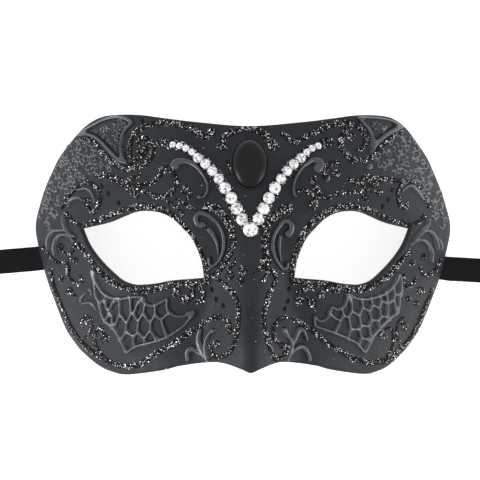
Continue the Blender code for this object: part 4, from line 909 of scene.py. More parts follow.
@dataclass(frozen=True)
class GlitterGlue:
    """Black glue packed with fine glitter."""

    name: str = "glitter_glue"
    body: tuple = (0.003, 0.003, 0.004)
    speck: tuple = (0.014, 0.015, 0.017)
    gloss: float = 0.15
    metal: float = 0.8
    grain_scale: float = 2300.0
    grain_depth: float = 0.00035

    def material(self) -> bpy.types.Material:
        """Build the glue's material."""
        recipe = ShaderRecipe(self.name)
        grain = recipe.cells(self.grain_scale, "Color")
        shade = recipe.node("ShaderNodeSeparateColor", None, {0: grain}).out("Red")
        mask = recipe.ramp(shade, 0.55, 0.8)
        return recipe.finish({
            "Base Color": recipe.blend(mask, rgba(self.body), rgba(self.speck)),
            "Metallic": mask * self.metal,
            "Roughness": recipe.ramp(shade, 0.0, 1.0, 0.60, 0.30),
            "Specular IOR Level": self.gloss,
            "Normal": recipe.bump(recipe.cells(self.grain_scale, "Distance"), self.grain_depth)})


@dataclass(frozen=True)
class GlitterGrain:
    """Loose metallic grains, each with its own shade, which also glows faintly as a painted glint."""

    name: str = "glitter_grain"
    roughness: float = 0.30
    metal: float = 0.7
    painted_glint: float = 0.30

    def material(self) -> bpy.types.Material:
        """Build the grains' material."""
        recipe = ShaderRecipe(self.name)
        shade = recipe.node("ShaderNodeAttribute", {"attribute_name": "grain_shade_and_glint"}).out("Color")
        # The grain's shade feeds its colour and its glow: light shades are a painted glint that shines
        # whatever way the grain is tilted.
        return recipe.finish({
            "Base Color": shade, "Metallic": self.metal, "Roughness": self.roughness,
            "Emission Color": shade, "Emission Strength": self.painted_glint})


@dataclass(frozen=True)
class BlackGlass:
    """Polished black glass."""

    name: str = "black_glass"
    colour: tuple = (0.003, 0.003, 0.004)
    roughness: float = 0.32
    gloss: float = 0.30
    ior: float = 1.45
    smear_scale: float = 180.0

    def material(self) -> bpy.types.Material:
        """Build the glass's material."""
        recipe = ShaderRecipe(self.name)
        smear = recipe.noise(self.smear_scale, 2.0)
        return recipe.finish({
            "Base Color": rgba(self.colour),
            "Roughness": recipe.ramp(smear, *NOISE_SPAN, self.roughness, self.roughness + 0.05),
            "Specular IOR Level": self.gloss, "IOR": self.ior})


@dataclass(frozen=True)
class CrystalFoil:
    """Foil-backed cut crystal, each facet with its own painted flash of reflected light, which also glows
    faintly as a painted sparkle.
    """

    name: str = "crystal_foil"
    roughness: float = 0.18
    metal: float = 0.2
    ior: float = 1.7
    polish: float = 0.05
    painted_sparkle: float = 0.08

    def material(self) -> bpy.types.Material:
        """Build the crystal's material."""
        recipe = ShaderRecipe(self.name)
        flash = recipe.node("ShaderNodeAttribute", {"attribute_name": "painted_facet_flash"}).out("Color")
        # Each facet's painted flash is both its colour and its glow: light and dark facets are painted
        # reflections.
        return recipe.finish({
            "Base Color": flash, "Metallic": self.metal, "Roughness": self.roughness, "IOR": self.ior,
            "Emission Color": flash, "Emission Strength": self.painted_sparkle,
            "Coat Weight": 1.0, "Coat Roughness": self.polish})


@dataclass(frozen=True)
class SatinRibbon:
    """Black satin with fine threads along the ribbon."""

    name: str = "satin_ribbon"
    dark: tuple = (0.003, 0.003, 0.004)
    light: tuple = (0.007, 0.007, 0.009)
    roughness: tuple = (0.34, 0.46)
    gloss: float = 0.12
    sheen: float = 0.02
    sheen_roughness: float = 0.35
    thread_scale: tuple = (60.0, 2600.0, 2600.0)
    thread_depth: float = 0.00008
    slub_scale: float = 420.0

    def material(self) -> bpy.types.Material:
        """Build the satin's material."""
        recipe = ShaderRecipe(self.name)
        threads = recipe.node("ShaderNodeMapping", {"vector_type": "POINT"}, {
            "Vector": recipe.place(), "Scale": self.thread_scale}).out()
        weave = recipe.node("ShaderNodeTexNoise", None, {
            "Vector": threads, "Scale": 1.0, "Detail": 2.0}).out("Fac")
        slub = recipe.noise(self.slub_scale, 2.0)
        return recipe.finish({
            "Base Color": recipe.blend(weave, rgba(self.dark), rgba(self.light)),
            "Roughness": recipe.ramp(slub, *NOISE_SPAN, *self.roughness),
            "Specular IOR Level": self.gloss,
            "Normal": recipe.bump(weave, self.thread_depth),
            "Sheen Weight": self.sheen, "Sheen Roughness": self.sheen_roughness})


@dataclass(frozen=True)
class PaleBoard:
    """Plain pale table top with a faint glow, so that no shadow darkens it."""

    name: str = "pale_board"
    colour: tuple = (0.90, 0.90, 0.90)
    roughness: float = 0.85
    glow: float = 0.70

    def material(self) -> bpy.types.Material:
        """Build the board's material."""
        recipe = ShaderRecipe(self.name)
        return recipe.finish({
            "Base Color": rgba(self.colour), "Roughness": self.roughness,
            "Emission Color": WHITE, "Emission Strength": self.glow})


@dataclass
class MaskSurface:
    """The shell's front face as a height over the table."""

    crown_rise: float = 0.060
    nose_rise: float = 0.021
    nose_half_width: float = 0.026
    corner_lift: float = 0.028
    edge_arch: float = 0.0038
    floor_trim: float = 0.0003
    fullness: float = 0.25
    socket_dip: float = 0.0035
    socket_half_width: float = 0.036
    socket_half_height: float = 0.026
    socket: Spot = Spot(0.490, -0.020)
    curves: dict = field(default_factory=dict)

    def __post_init__(self) -> None:
        """Fit the section curves."""
        heights = [row.up for row in SECTIONS]
        for column in Section._fields[1:]:
            self.curves[column] = natural_spline(heights, [getattr(row, column) for row in SECTIONS])

    def edge(self, y: Array) -> Array:
        """Half width of the shell at each height y."""
        return self.curves["edge_out"](y / HALF_HEIGHT) * HALF_WIDTH

    def height(self, x: Array, y: Array) -> Array:
        """Height of the front face.

        Args:
            x: Plan places across the face.
            y: Plan places up the face.

        Returns:
            The height at each place.
        """
        up = y / HALF_HEIGHT
        rim = self.curves["arch"](up) * self.edge_arch + self.curves["lift"](up) * self.corner_lift
        rim = rim - self.floor_trim
        across = np.abs(x) / self.edge(y)
        fall = (1 - self.fullness) * across ** 2 + self.fullness * across ** 4
        height = rim + (self.curves["crown"](up) * self.crown_rise - rim) * (1 - fall)
        nose_across = np.abs(x) / (self.curves["nose_out"](up) * self.nose_half_width)
        bridge = (1 - np.minimum(nose_across, 1) ** 2) ** 3
        height = height + self.curves["nose"](up) * self.nose_rise * bridge
        socket_x = (np.abs(x) - self.socket.out * HALF_WIDTH) / self.socket_half_width
        socket_y = (y - self.socket.up * HALF_HEIGHT) / self.socket_half_height
        reach = np.minimum(socket_x ** 2 + socket_y ** 2, 1)
        return height - self.socket_dip * (1 - reach) ** 2

    def normals(self, plan: Array) -> Array:
        """Unit normals of the front face at plan points.

        Args:
            plan: Plan points.

        Returns:
            The normals, one a row.
        """
        x, y, probe = plan[:, 0], plan[:, 1], SLOPE_PROBE
        slope_x = (self.height(x + probe, y) - self.height(x - probe, y)) / (2 * probe)
        slope_y = (self.height(x, y + probe) - self.height(x, y - probe)) / (2 * probe)
        made = np.stack([-slope_x, -slope_y, np.ones_like(slope_x)], axis=-1)
        return made / np.linalg.norm(made, axis=-1, keepdims=True)

    def over(self, plan: Array, lift: Array | float) -> Array:
        """Points that stand a lift above the front face, along its normal.

        Args:
            plan: Plan points.
            lift: One lift, or one for each point.

        Returns:
            The points, one a row.
        """
        ground = np.column_stack([plan, self.height(plan[:, 0], plan[:, 1])])
        lifts = np.broadcast_to(lift, len(plan))[:, None]
        return ground + self.normals(plan) * lifts

    def plan_of(self, chart: Array) -> Array:
        """Plan points of the front face that show at chart points.

        Args:
            chart: Chart points.

        Returns:
            The plan points, one a row.
        """
        middle = CHART_SIZE / 2
        x = np.zeros(len(chart))
        y = np.zeros(len(chart))
        for _ in range(CHART_ROUNDS):
            z = self.height(x, y)
            toward = z * math.cos(CHART_TURN) - (x - AXIS_POINT[0]) * math.sin(CHART_TURN)
            shrink = 1 - toward / CHART_DISTANCE
            aside = (chart[:, 0] - middle) * CHART_UNIT_X * shrink - z * math.sin(CHART_TURN)
            x = AXIS_POINT[0] + aside / math.cos(CHART_TURN)
            y = AXIS_POINT[1] + (middle - chart[:, 1]) * CHART_UNIT_Y * shrink
        return np.column_stack([x, y])


@dataclass
class ChartField:
    """Lift of an ornament over the shell, on a grid of the chart."""

    low: tuple
    high: tuple
    step: float = 0.4
    dip: float = 0.00025
    skirt: float = 0.4
    full_half: float = 1.4
    roundness: float = 0.5
    thinnest: float = 0.00005
    sunk_share: float = 0.999
    u: Array = field(init=False)
    v: Array = field(init=False)
    lift: Array = field(init=False)

    def __post_init__(self) -> None:
        """Lay out the grid, all of it sunk into the shell."""
        self.u = np.arange(self.low[0], self.high[0] + self.step, self.step)
        self.v = np.arange(self.low[1], self.high[1] + self.step, self.step)
        self.lift = np.full((len(self.v), len(self.u)), -self.dip)

    def _window(self, low: Array, high: Array) -> tuple[slice, slice]:
        """Rows and columns of the grid inside a box."""
        columns = np.searchsorted(self.u, (low[0], high[0]))
        rows = np.searchsorted(self.v, (low[1], high[1]))
        return slice(rows[0], rows[1]), slice(columns[0], columns[1])

    def _gap(self, window: tuple[slice, slice], a: Array, b: Array) -> tuple[Array, Array]:
        """Distance to a segment and share along it, for the grid in a window.

        Args:
            window: Rows and columns of the grid.
            a: The segment's start.
            b: Its end.

        Returns:
            The distance and the share, each a grid.
        """
        du = self.u[window[1]][None, :] - a[0]
        dv = self.v[window[0]][:, None] - a[1]
        run = b - a
        share = np.clip((du * run[0] + dv * run[1]) / max(run @ run, TINY), 0, 1)
        return np.hypot(du - share * run[0], dv - share * run[1]), share

    def _raise(self, window: tuple[slice, slice], gap: Array, half: Array, rise: float) -> None:
        """Raise a rounded ridge of the given half width.

        Args:
            window: Rows and columns of the grid.
            gap: Distance of the grid's points from the ridge's middle.
            half: Half width of the ridge there.
            rise: Its full height.
        """
        share = np.minimum(gap / half, 1)
        ridge = rise * np.minimum(1, half / self.full_half) * (1 - share ** 2) ** self.roundness
        skirt = -self.dip * np.clip((gap - half) / self.skirt, 0, 1)
        self.lift[window] = np.maximum(self.lift[window], np.where(gap < half, ridge, skirt))

    def add_path(self, path: Array, widths: Array, rise: float) -> None:
        """Raise a ridge along a path.

        Args:
            path: Chart points.
            widths: The ridge's width at each point.
            rise: Its full height.
        """
        halves = widths / 2
        for a, b, start, end in zip(path, path[1:], halves, halves[1:]):
            reach = max(start, end) + self.skirt
            window = self._window(np.minimum(a, b) - reach, np.maximum(a, b) + reach)
            gap, share = self._gap(window, a, b)
            self._raise(window, gap, start + (end - start) * share, rise)

    def add_stroke(self, stroke: Stroke, rise: float) -> None:
        """Raise a tapered stroke.

        Args:
            stroke: The stroke.
            rise: Its full height.
        """
        path = smooth_path(stroke.points, STROKE_SPACING)
        share = np.linspace(0, 1, len(path))
        widths = np.interp(share, (0, 0.5, 1), (stroke.start, stroke.middle, stroke.end))
        self.add_path(path, widths, rise)

    def add_dot(self, dot: Dot, rise: float) -> None:
        """Raise a round blob.

        Args:
            dot: The blob.
            rise: Its full height.
        """
        centre = np.array([dot.u, dot.v])
        reach = dot.radius + self.skirt
        window = self._window(centre - reach, centre + reach)
        gap, _ = self._gap(window, centre, centre)
        self._raise(window, gap, np.full_like(gap, dot.radius), rise)

    def inside(self, loop: Array) -> Array:
        """Mask of the grid points inside a closed loop."""
        grid = np.stack(np.meshgrid(self.u, self.v), axis=-1)
        return held_by(loop, grid.reshape(-1, 2)).reshape(self.lift.shape)

    def depth(self, edge: Array, cells: Sequence[Array], limit: float) -> Array:
        """Distance into a pierced plate, below 0 outside it, up to a limit each way.

        Args:
            edge: Loop round the plate.
            cells: Loops of what is cut out.
            limit: How far the distance is worked out.

        Returns:
            The distance at each grid point.
        """
        near = np.full(self.lift.shape, limit)
        within = self.inside(edge)
        for loop in [edge, *cells]:
            for a, b in zip(loop, np.roll(loop, -1, axis=0)):
                window = self._window(np.minimum(a, b) - limit, np.maximum(a, b) + limit)
                near[window] = np.minimum(near[window], self._gap(window, a, b)[0])
        for loop in cells:
            within &= ~self.inside(loop)
        return np.where(within, near, -near)

    def add_plate(self, edge: Array, cells: Sequence[Array], rise: float, shoulder: float) -> None:
        """Raise a pierced plate with rounded shoulders.

        Args:
            edge: Loop round the plate.
            cells: Loops of what is cut out.
            rise: The plate's height.
            shoulder: Width over which its edges round off.
        """
        depth = self.depth(edge, cells, shoulder + self.skirt)
        share = 1 - np.clip(depth / shoulder, 0, 1)
        plate = rise * (1 - share ** 2) ** self.roundness
        skirt = -self.dip * np.clip(-depth / self.skirt, 0, 1)
        self.lift = np.maximum(self.lift, np.where(depth > 0, plate, skirt))

    def cell_gap(self, cell: Cell) -> Array:
        """Distance of the grid's points from an oval, below 0 inside it.

        Args:
            cell: The oval.

        Returns:
            The distance at each grid point.
        """
        lean = math.radians(cell.lean)
        du = self.u[None, :] - cell.u
        dv = self.v[:, None] - cell.v
        across = (du * math.cos(lean) + dv * math.sin(lean)) / cell.half_width
        along = (dv * math.cos(lean) - du * math.sin(lean)) / cell.half_length
        reach = np.hypot(across, along)
        steep = np.hypot(across / cell.half_width, along / cell.half_length)
        return (reach - 1) * reach / np.maximum(steep, TINY)

    def add_net(self, edge: Array, cells: Sequence[Cell], rise: float, cord: float, rim: float,
                growth: float) -> None:
        """Raise a net of round cords that leaves its cells open.

        Args:
            edge: Loop round the net.
            cells: The open cells.
            rise: Height of the cords.
            cord: Width of the cords between cells.
            rim: Width of the cord along the edge.
            growth: How far a cell may open beyond its own oval.
        """
        first, second = np.partition([self.cell_gap(cell) for cell in cells], 1, axis=0)[:2]
        depth = self.depth(edge, [], rim + self.skirt)
        between = (second - first) / cord
        border = np.abs(depth - rim / 2) / (rim / 2)
        solid = 1 - (first - growth) / cord
        share = np.maximum(np.minimum(np.minimum(between, border), solid), 0)
        web = rise * (1 - np.minimum(share, 1) ** 2) ** self.roundness
        skirt = -self.dip * np.clip((share - 1) * cord / 2 / self.skirt, 0, 1)
        outer = -self.dip * np.clip(-depth / self.skirt, 0, 1)
        lift = np.where(depth > 0, np.where(share < 1, web, skirt), outer)
        self.lift = np.maximum(self.lift, lift)

    def roughen(self, seed: int, size: float) -> None:
        """Make what is raised lumpy.

        Args:
            seed: What sets its lumps apart.
            size: Height of a usual lump.
        """
        rng = np.random.default_rng(seed)
        lumps = rng.normal(0, 1, self.lift.shape)
        lumps = (lumps + np.roll(lumps, 1, 0) + np.roll(lumps, 1, 1) + np.roll(lumps, (1, 1), (0, 1))) / 2
        self.lift = np.where(self.lift > 0, np.maximum(self.lift + lumps * size, self.thinnest), self.lift)

    def lift_at(self, chart: Array) -> Array:
        """Lift of the grid point nearest to each chart point."""
        column = np.clip(np.rint((chart[:, 0] - self.u[0]) / self.step).astype(int), 0, len(self.u) - 1)
        row = np.clip(np.rint((chart[:, 1] - self.v[0]) / self.step).astype(int), 0, len(self.v) - 1)
        return self.lift[row, column]

    def shown(self) -> Array:
        """Mask of the grid points that aren't sunk all the way."""
        return self.lift > -self.sunk_share * self.dip

    def trim(self, rims: "ShellRims") -> None:
        """Sink what would hang over the shell's rims.

        Args:
            rims: The shell's edges.
        """
        row, column = np.nonzero(self.shown())
        plan = rims.surface.plan_of(np.column_stack([self.u[column], self.v[row]]))
        off = ~rims.holds(plan)
        self.lift[row[off], column[off]] = -self.dip

    def build(self, name: str, rims: "ShellRims", finish: bpy.types.Material) -> bpy.types.Object:
        """Make the raised part of the grid into a closed skin.

        Args:
            name: The object's name.
            rims: The shell's edges, and the surface that it lies on.
            finish: Its material.

        Returns:
            The object.
        """
        surface = rims.surface
        self.trim(rims)
        shown = self.shown()
        kept = shown[:-1, :-1] | shown[1:, :-1] | shown[:-1, 1:] | shown[1:, 1:]
        number = np.arange(self.lift.size).reshape(self.lift.shape)
        a, b = number[:-1, :-1], number[:-1, 1:]
        c, d = number[1:, 1:], number[1:, :-1]
        top = np.stack([a[kept], d[kept], c[kept], b[kept]], axis=-1)
        framed = np.pad(kept, 1)
        walls = []
        for shift, first, second in (((0, 1), b, a), ((1, 0), a, d), ((2, 1), d, c), ((1, 2), c, b)):
            beside = framed[shift[0]:shift[0] + kept.shape[0], shift[1]:shift[1] + kept.shape[1]]
            open_side = kept & ~beside
            walls.append(np.stack([first[open_side], second[open_side]], axis=-1))
        walls = np.concatenate(walls)
        used = np.unique(top)
        place = np.full(self.lift.size, -1)
        place[used] = np.arange(len(used))
        top, walls = place[top], place[walls]
        count = len(used)
        chart = np.column_stack([np.tile(self.u, len(self.v))[used], np.repeat(self.v, len(self.u))[used]])
        plan = surface.plan_of(chart)
        vertices = np.vstack([surface.over(plan, self.lift.ravel()[used]),
                              surface.over(plan, -2 * self.dip)])
        vertices[:, 2] = np.maximum(vertices[:, 2], 0)
        sides = np.column_stack([walls[:, 0], walls[:, 0] + count, walls[:, 1] + count, walls[:, 1]])
        return make_object(name, vertices, [np.vstack([top, top[:, ::-1] + count, sides])], [finish])


@dataclass
class ShellRims:
    """The edges of the shell in plan: its outline and its two eye openings."""

    surface: MaskSurface
    rim_step: float = 0.0009
    side_steps: int = 22
    map_step: float = 0.0001
    margin: float = 0.00035
    across: Array = field(init=False)
    up: Array = field(init=False)
    solid: Array = field(init=False)

    def __post_init__(self) -> None:
        """Map where ornament may lie, a margin inside every rim."""
        self.across = np.arange(-HALF_WIDTH, HALF_WIDTH, self.map_step)
        self.up = np.arange(-HALF_HEIGHT, HALF_HEIGHT, self.map_step)
        self.solid = np.zeros((len(self.up), len(self.across)), bool)
        for loop in self.loops():
            start = self.inset(loop, self.margin)
            end = np.roll(start, -1, axis=0)
            for row, y in enumerate(self.up):
                crossing = (start[:, 1] > y) != (end[:, 1] > y)
                a, b = start[crossing], end[crossing]
                at = np.sort(a[:, 0] + (y - a[:, 1]) * (b[:, 0] - a[:, 0]) / (b[:, 1] - a[:, 1]))
                self.solid[row] ^= np.searchsorted(at, self.across) % 2 == 1

    def loops(self) -> list[Array]:
        """The outline and both eyes, each with the material to its left."""
        return [self.outline(), self.eye(Side.LEFT), self.eye(Side.RIGHT)]

    def outline(self) -> Array:
        """Loop round the outer edge."""
        heights = np.linspace(SIDE_TOP, SIDE_FOOT, self.side_steps) * HALF_HEIGHT
        sides = np.column_stack([self.surface.edge(heights), heights])
        half = np.vstack([self._plan(TOP_EDGE), sides, self._plan(FOOT_EDGE)])
        loop = smooth_path(np.vstack([half, half[-2:0:-1] * (-1, 1)]), self.rim_step, closed=True)
        return turned(loop, 1)

    def eye(self, side: Side) -> Array:
        """Loop round one eye opening, with sharp corners."""
        upper = smooth_path(self._plan(UPPER_LID, side), self.rim_step)
        lower = smooth_path(self._plan(LOWER_LID, side), self.rim_step)
        return turned(np.vstack([upper[:-1], lower[:0:-1]]), -1)

    def inset(self, loop: Array, distance: float) -> Array:
        """A loop moved into the material, which lies to its left."""
        along = np.roll(loop, -1, axis=0) - np.roll(loop, 1, axis=0)
        inward = np.column_stack([-along[:, 1], along[:, 0]])
        return loop + inward / np.linalg.norm(inward, axis=1, keepdims=True) * distance

    def holds(self, plan: Array) -> Array:
        """Whether each plan point is on the shell, clear of its rims.

        Args:
            plan: Plan points.

        Returns:
            A mask of the points.
        """
        column = np.rint((plan[:, 0] + HALF_WIDTH) / self.map_step).astype(int)
        row = np.rint((plan[:, 1] + HALF_HEIGHT) / self.map_step).astype(int)
        near = (column >= 0) & (column < len(self.across)) & (row >= 0) & (row < len(self.up))
        held = np.zeros(len(plan), bool)
        held[near] = self.solid[row[near], column[near]]
        return held

    def _plan(self, spots: Sequence[Spot], side: Side = Side.RIGHT) -> Array:
        """Plan points of a table of shares."""
        return np.array([(side.value * spot.out * HALF_WIDTH, spot.up * HALF_HEIGHT) for spot in spots])


def field_over(points: Array, margin: float, **settings: Any) -> ChartField:
    """Grid that covers chart points with a margin round them."""
    return ChartField(tuple(points.min(axis=0) - margin), tuple(points.max(axis=0) + margin), **settings)


def figure_points(figure: Figure) -> Array:
    """Every chart point that a figure names."""
    return np.array([point for stroke in figure.strokes for point in stroke.points]
                    + [(dot.u, dot.v) for dot in figure.dots])


@dataclass
class MoldedShell:
    """The mask's own shell, with its rounded rims and its painted inside."""

    surface: MaskSurface
    rims: ShellRims
    paint: bpy.types.Material
    inside: bpy.types.Material
    grid: float = 0.0011
    rounding: float = 0.0010
    rim_rings: tuple = (0.25, 0.7)
    clearing: float = 1.3
    front_sink: float = 0.8
    back_sink: float = 0.5
    merge_distance: float = 1e-8

    def build(self) -> None:
        """Make the shell and settle it."""
        loops = self.rims.loops()
        row_step = self.grid * math.sqrt(3) / 2
        rows = round(HALF_HEIGHT / row_step) + 1
        columns = round(HALF_WIDTH / self.grid) + 1
        row, column = np.meshgrid(np.arange(-rows, rows + 1), np.arange(-columns, columns + 1),
                                  indexing="ij")
        spots = np.column_stack([((column + 0.5 * (row % 2)) * self.grid).ravel(), (row * row_step).ravel()])
        spots = spots[np.abs(spots[:, 0]) < self.surface.edge(spots[:, 1]) + self.grid]
        rims = [self.rims.inset(loop, share * self.rounding) for loop in loops for share in self.rim_rings]
        tree = KDTree(sum(len(loop) for loop in loops))
        for number, point in enumerate(np.vstack(loops)):
            tree.insert((*point, 0.0), number)
        tree.balance()
        gap = np.array([tree.find((*point, 0.0))[2] for point in spots])
        spots = np.vstack([spots[gap > self.clearing * self.rounding], *rims])
        coords, faces = [], []
        for loop in loops:
            faces.append(list(range(len(coords), len(coords) + len(loop))))
            coords.extend(map(Vector, turned(loop, 1)))
        coords.extend(map(Vector, spots))
        points, _, triangles, _, _, held = delaunay_2d_cdt(coords, [], faces, 0, self.merge_distance, True)
        front = np.array([triangle for triangle, by in zip(triangles, held) if list(by) == [0]])
        used, front = np.unique(front, return_inverse=True)
        front = front.reshape(-1, 3)
        plan = np.array([tuple(point) for point in points])[used]
        first, second = plan[front[:, 1]] - plan[front[:, 0]], plan[front[:, 2]] - plan[front[:, 0]]
        flipped = first[:, 0] * second[:, 1] - first[:, 1] * second[:, 0] < 0
        front[flipped] = front[flipped][:, ::-1]
        self._raise_shell(plan, front, tree)

    def _raise_shell(self, plan: Array, front: Array, tree: KDTree) -> None:
        """Lift the flat triangles into a shell with rounded rims.

        Args:
            plan: Plan points.
            front: Triangles over them, counterclockwise.
            tree: The rims' points.
        """
        gap = np.array([tree.find((*point, 0.0))[2] for point in plan])
        inner = 1 - np.clip(gap / self.rounding, 0, 1)
        sink = self.rounding * (1 - np.sqrt(1 - inner ** 2))
        count = len(plan)
        vertices = np.vstack([self.surface.over(plan, -self.front_sink * sink),
                              self.surface.over(plan, -SHELL_WALL + self.back_sink * sink)])
        vertices[:, 2] = np.maximum(vertices[:, 2], 0)
        edges = np.vstack([front[:, [0, 1]], front[:, [1, 2]], front[:, [2, 0]]])
        code = edges[:, 0] * count + edges[:, 1]
        back_code = edges[:, 1] * count + edges[:, 0]
        rim = edges[~np.isin(code, back_code)]
        walls = np.column_stack([rim[:, 0], rim[:, 0] + count, rim[:, 1] + count, rim[:, 1]])
        triangles = np.vstack([front, front[:, ::-1] + count])
        inner = np.concatenate([np.zeros(len(front)), np.ones(len(front)), np.zeros(len(walls))])
        shell = make_object("painted_shell", vertices, [triangles, walls], [self.paint, self.inside],
                            face_finish=inner)
        settle(shell, Slot.SHELL, "mask_shell")


@dataclass
class StuccoWork:
    """Scrolls, leaves, nets and curled skins raised in stucco."""

    rims: ShellRims
    paint: bpy.types.Material
    rise: float = 0.00155
    trim_rise: float = 0.00105
    shoulder: float = 2.0
    cord: float = 3.2
    net_rim: float = 3.5
    cell_growth: float = 12.0
    widen: float = 1.35
    step: float = 0.43
    figure_margin: float = 5.0
    panel_margin: float = 2.0
    skin_margin: float = 4.0
    net_share: float = 0.85
    curl_pitch: float = 6.0
    curl_rise: float = 0.00085
    curl_shape: tuple = (0.85, 1.15)
    curl_turn: tuple = (1.8, 5.6)
    curl_radius: tuple = (1.5, 2.7)
    curl_head: tuple = (1.8, 2.8)
    curl_tip: float = 1.2
    curl_steps: int = 9
    curl_rows: float = 0.9
    jitter: float = 0.3

    def build(self) -> None:
        """Make every stucco piece."""
        for name, figure in SCROLLS.items():
            self._figure(name, figure, self.rise, name)
        for name, panel in PANELS.items():
            self._panel(name, panel)
        for name, figure in STUCCO_TRIM.items():
            self._figure(name, figure, self.trim_rise)
        for number, (name, edge) in enumerate(SKIN_FIELDS.items()):
            self._skin(name, np.array(edge), SEED + number)

    def _figure(self, name: str, figure: Figure, rise: float, *nodes: str) -> None:
        """Raise one figure.

        Args:
            name: The piece's name.
            figure: Its strokes and dots.
            rise: Its height.
            nodes: The CAD nodes that it stands for.
        """
        lifted = field_over(figure_points(figure), self.figure_margin, step=self.step)
        for stroke in figure.strokes:
            lifted.add_stroke(stroke.widened(self.widen), rise)
        for dot in figure.dots:
            lifted.add_dot(dot, rise)
        settle(lifted.build(name + "_stucco", self.rims, self.paint), Slot.STUCCO, *nodes)

    def _panel(self, name: str, panel: Panel) -> None:
        """Raise one pierced panel, as a net where its cells are ovals.

        Args:
            name: The piece's name, and its CAD node's.
            panel: Its edge and cells.
        """
        edge = smooth_path(panel.edge, EDGE_SPACING, closed=True)
        lifted = field_over(edge, self.panel_margin, step=self.step)
        if isinstance(panel.cells[0], Cell):
            lifted.add_net(edge, panel.cells, self.rise * self.net_share, self.cord, self.net_rim,
                           self.cell_growth)
        else:
            cells = [smooth_path(cell, EDGE_SPACING, closed=True) for cell in panel.cells]
            lifted.add_plate(edge, cells, self.rise, self.shoulder)
        settle(lifted.build(name + "_stucco", self.rims, self.paint), Slot.STUCCO, name)

    def _skin(self, name: str, edge: Array, seed: int) -> None:
        """Fill a region with an uneven skin of small curls.

        Args:
            name: The piece's name.
            edge: The region's edge on the chart.
            seed: What sets its curls apart.
        """
        lifted = field_over(edge, self.skin_margin, step=self.step)
        rng = np.random.default_rng(seed)
        low, high = edge.min(axis=0), edge.max(axis=0)
        for row, v in enumerate(np.arange(low[1], high[1], self.curl_pitch * self.curl_rows)):
            for u in np.arange(low[0] + (row % 2) * self.curl_pitch / 2, high[0], self.curl_pitch):
                spot = np.array([u, v]) + rng.uniform(-self.jitter, self.jitter, 2) * self.curl_pitch
                length, radius = rng.uniform(*self.curl_turn), rng.uniform(*self.curl_radius)
                turns = rng.uniform(0, 2 * math.pi) + np.linspace(0, length, self.curl_steps)
                ring = np.column_stack([np.cos(turns), np.sin(turns)]) * self.curl_shape * radius
                if held_by(edge, spot[None])[0]:
                    widths = np.linspace(rng.uniform(*self.curl_head), self.curl_tip, self.curl_steps)
                    rise = self.curl_rise * rng.uniform(1 - self.jitter, 1 + self.jitter)
                    lifted.add_path(spot + ring, widths, rise)
        settle(lifted.build(name, self.rims, self.paint), Slot.STUCCO)


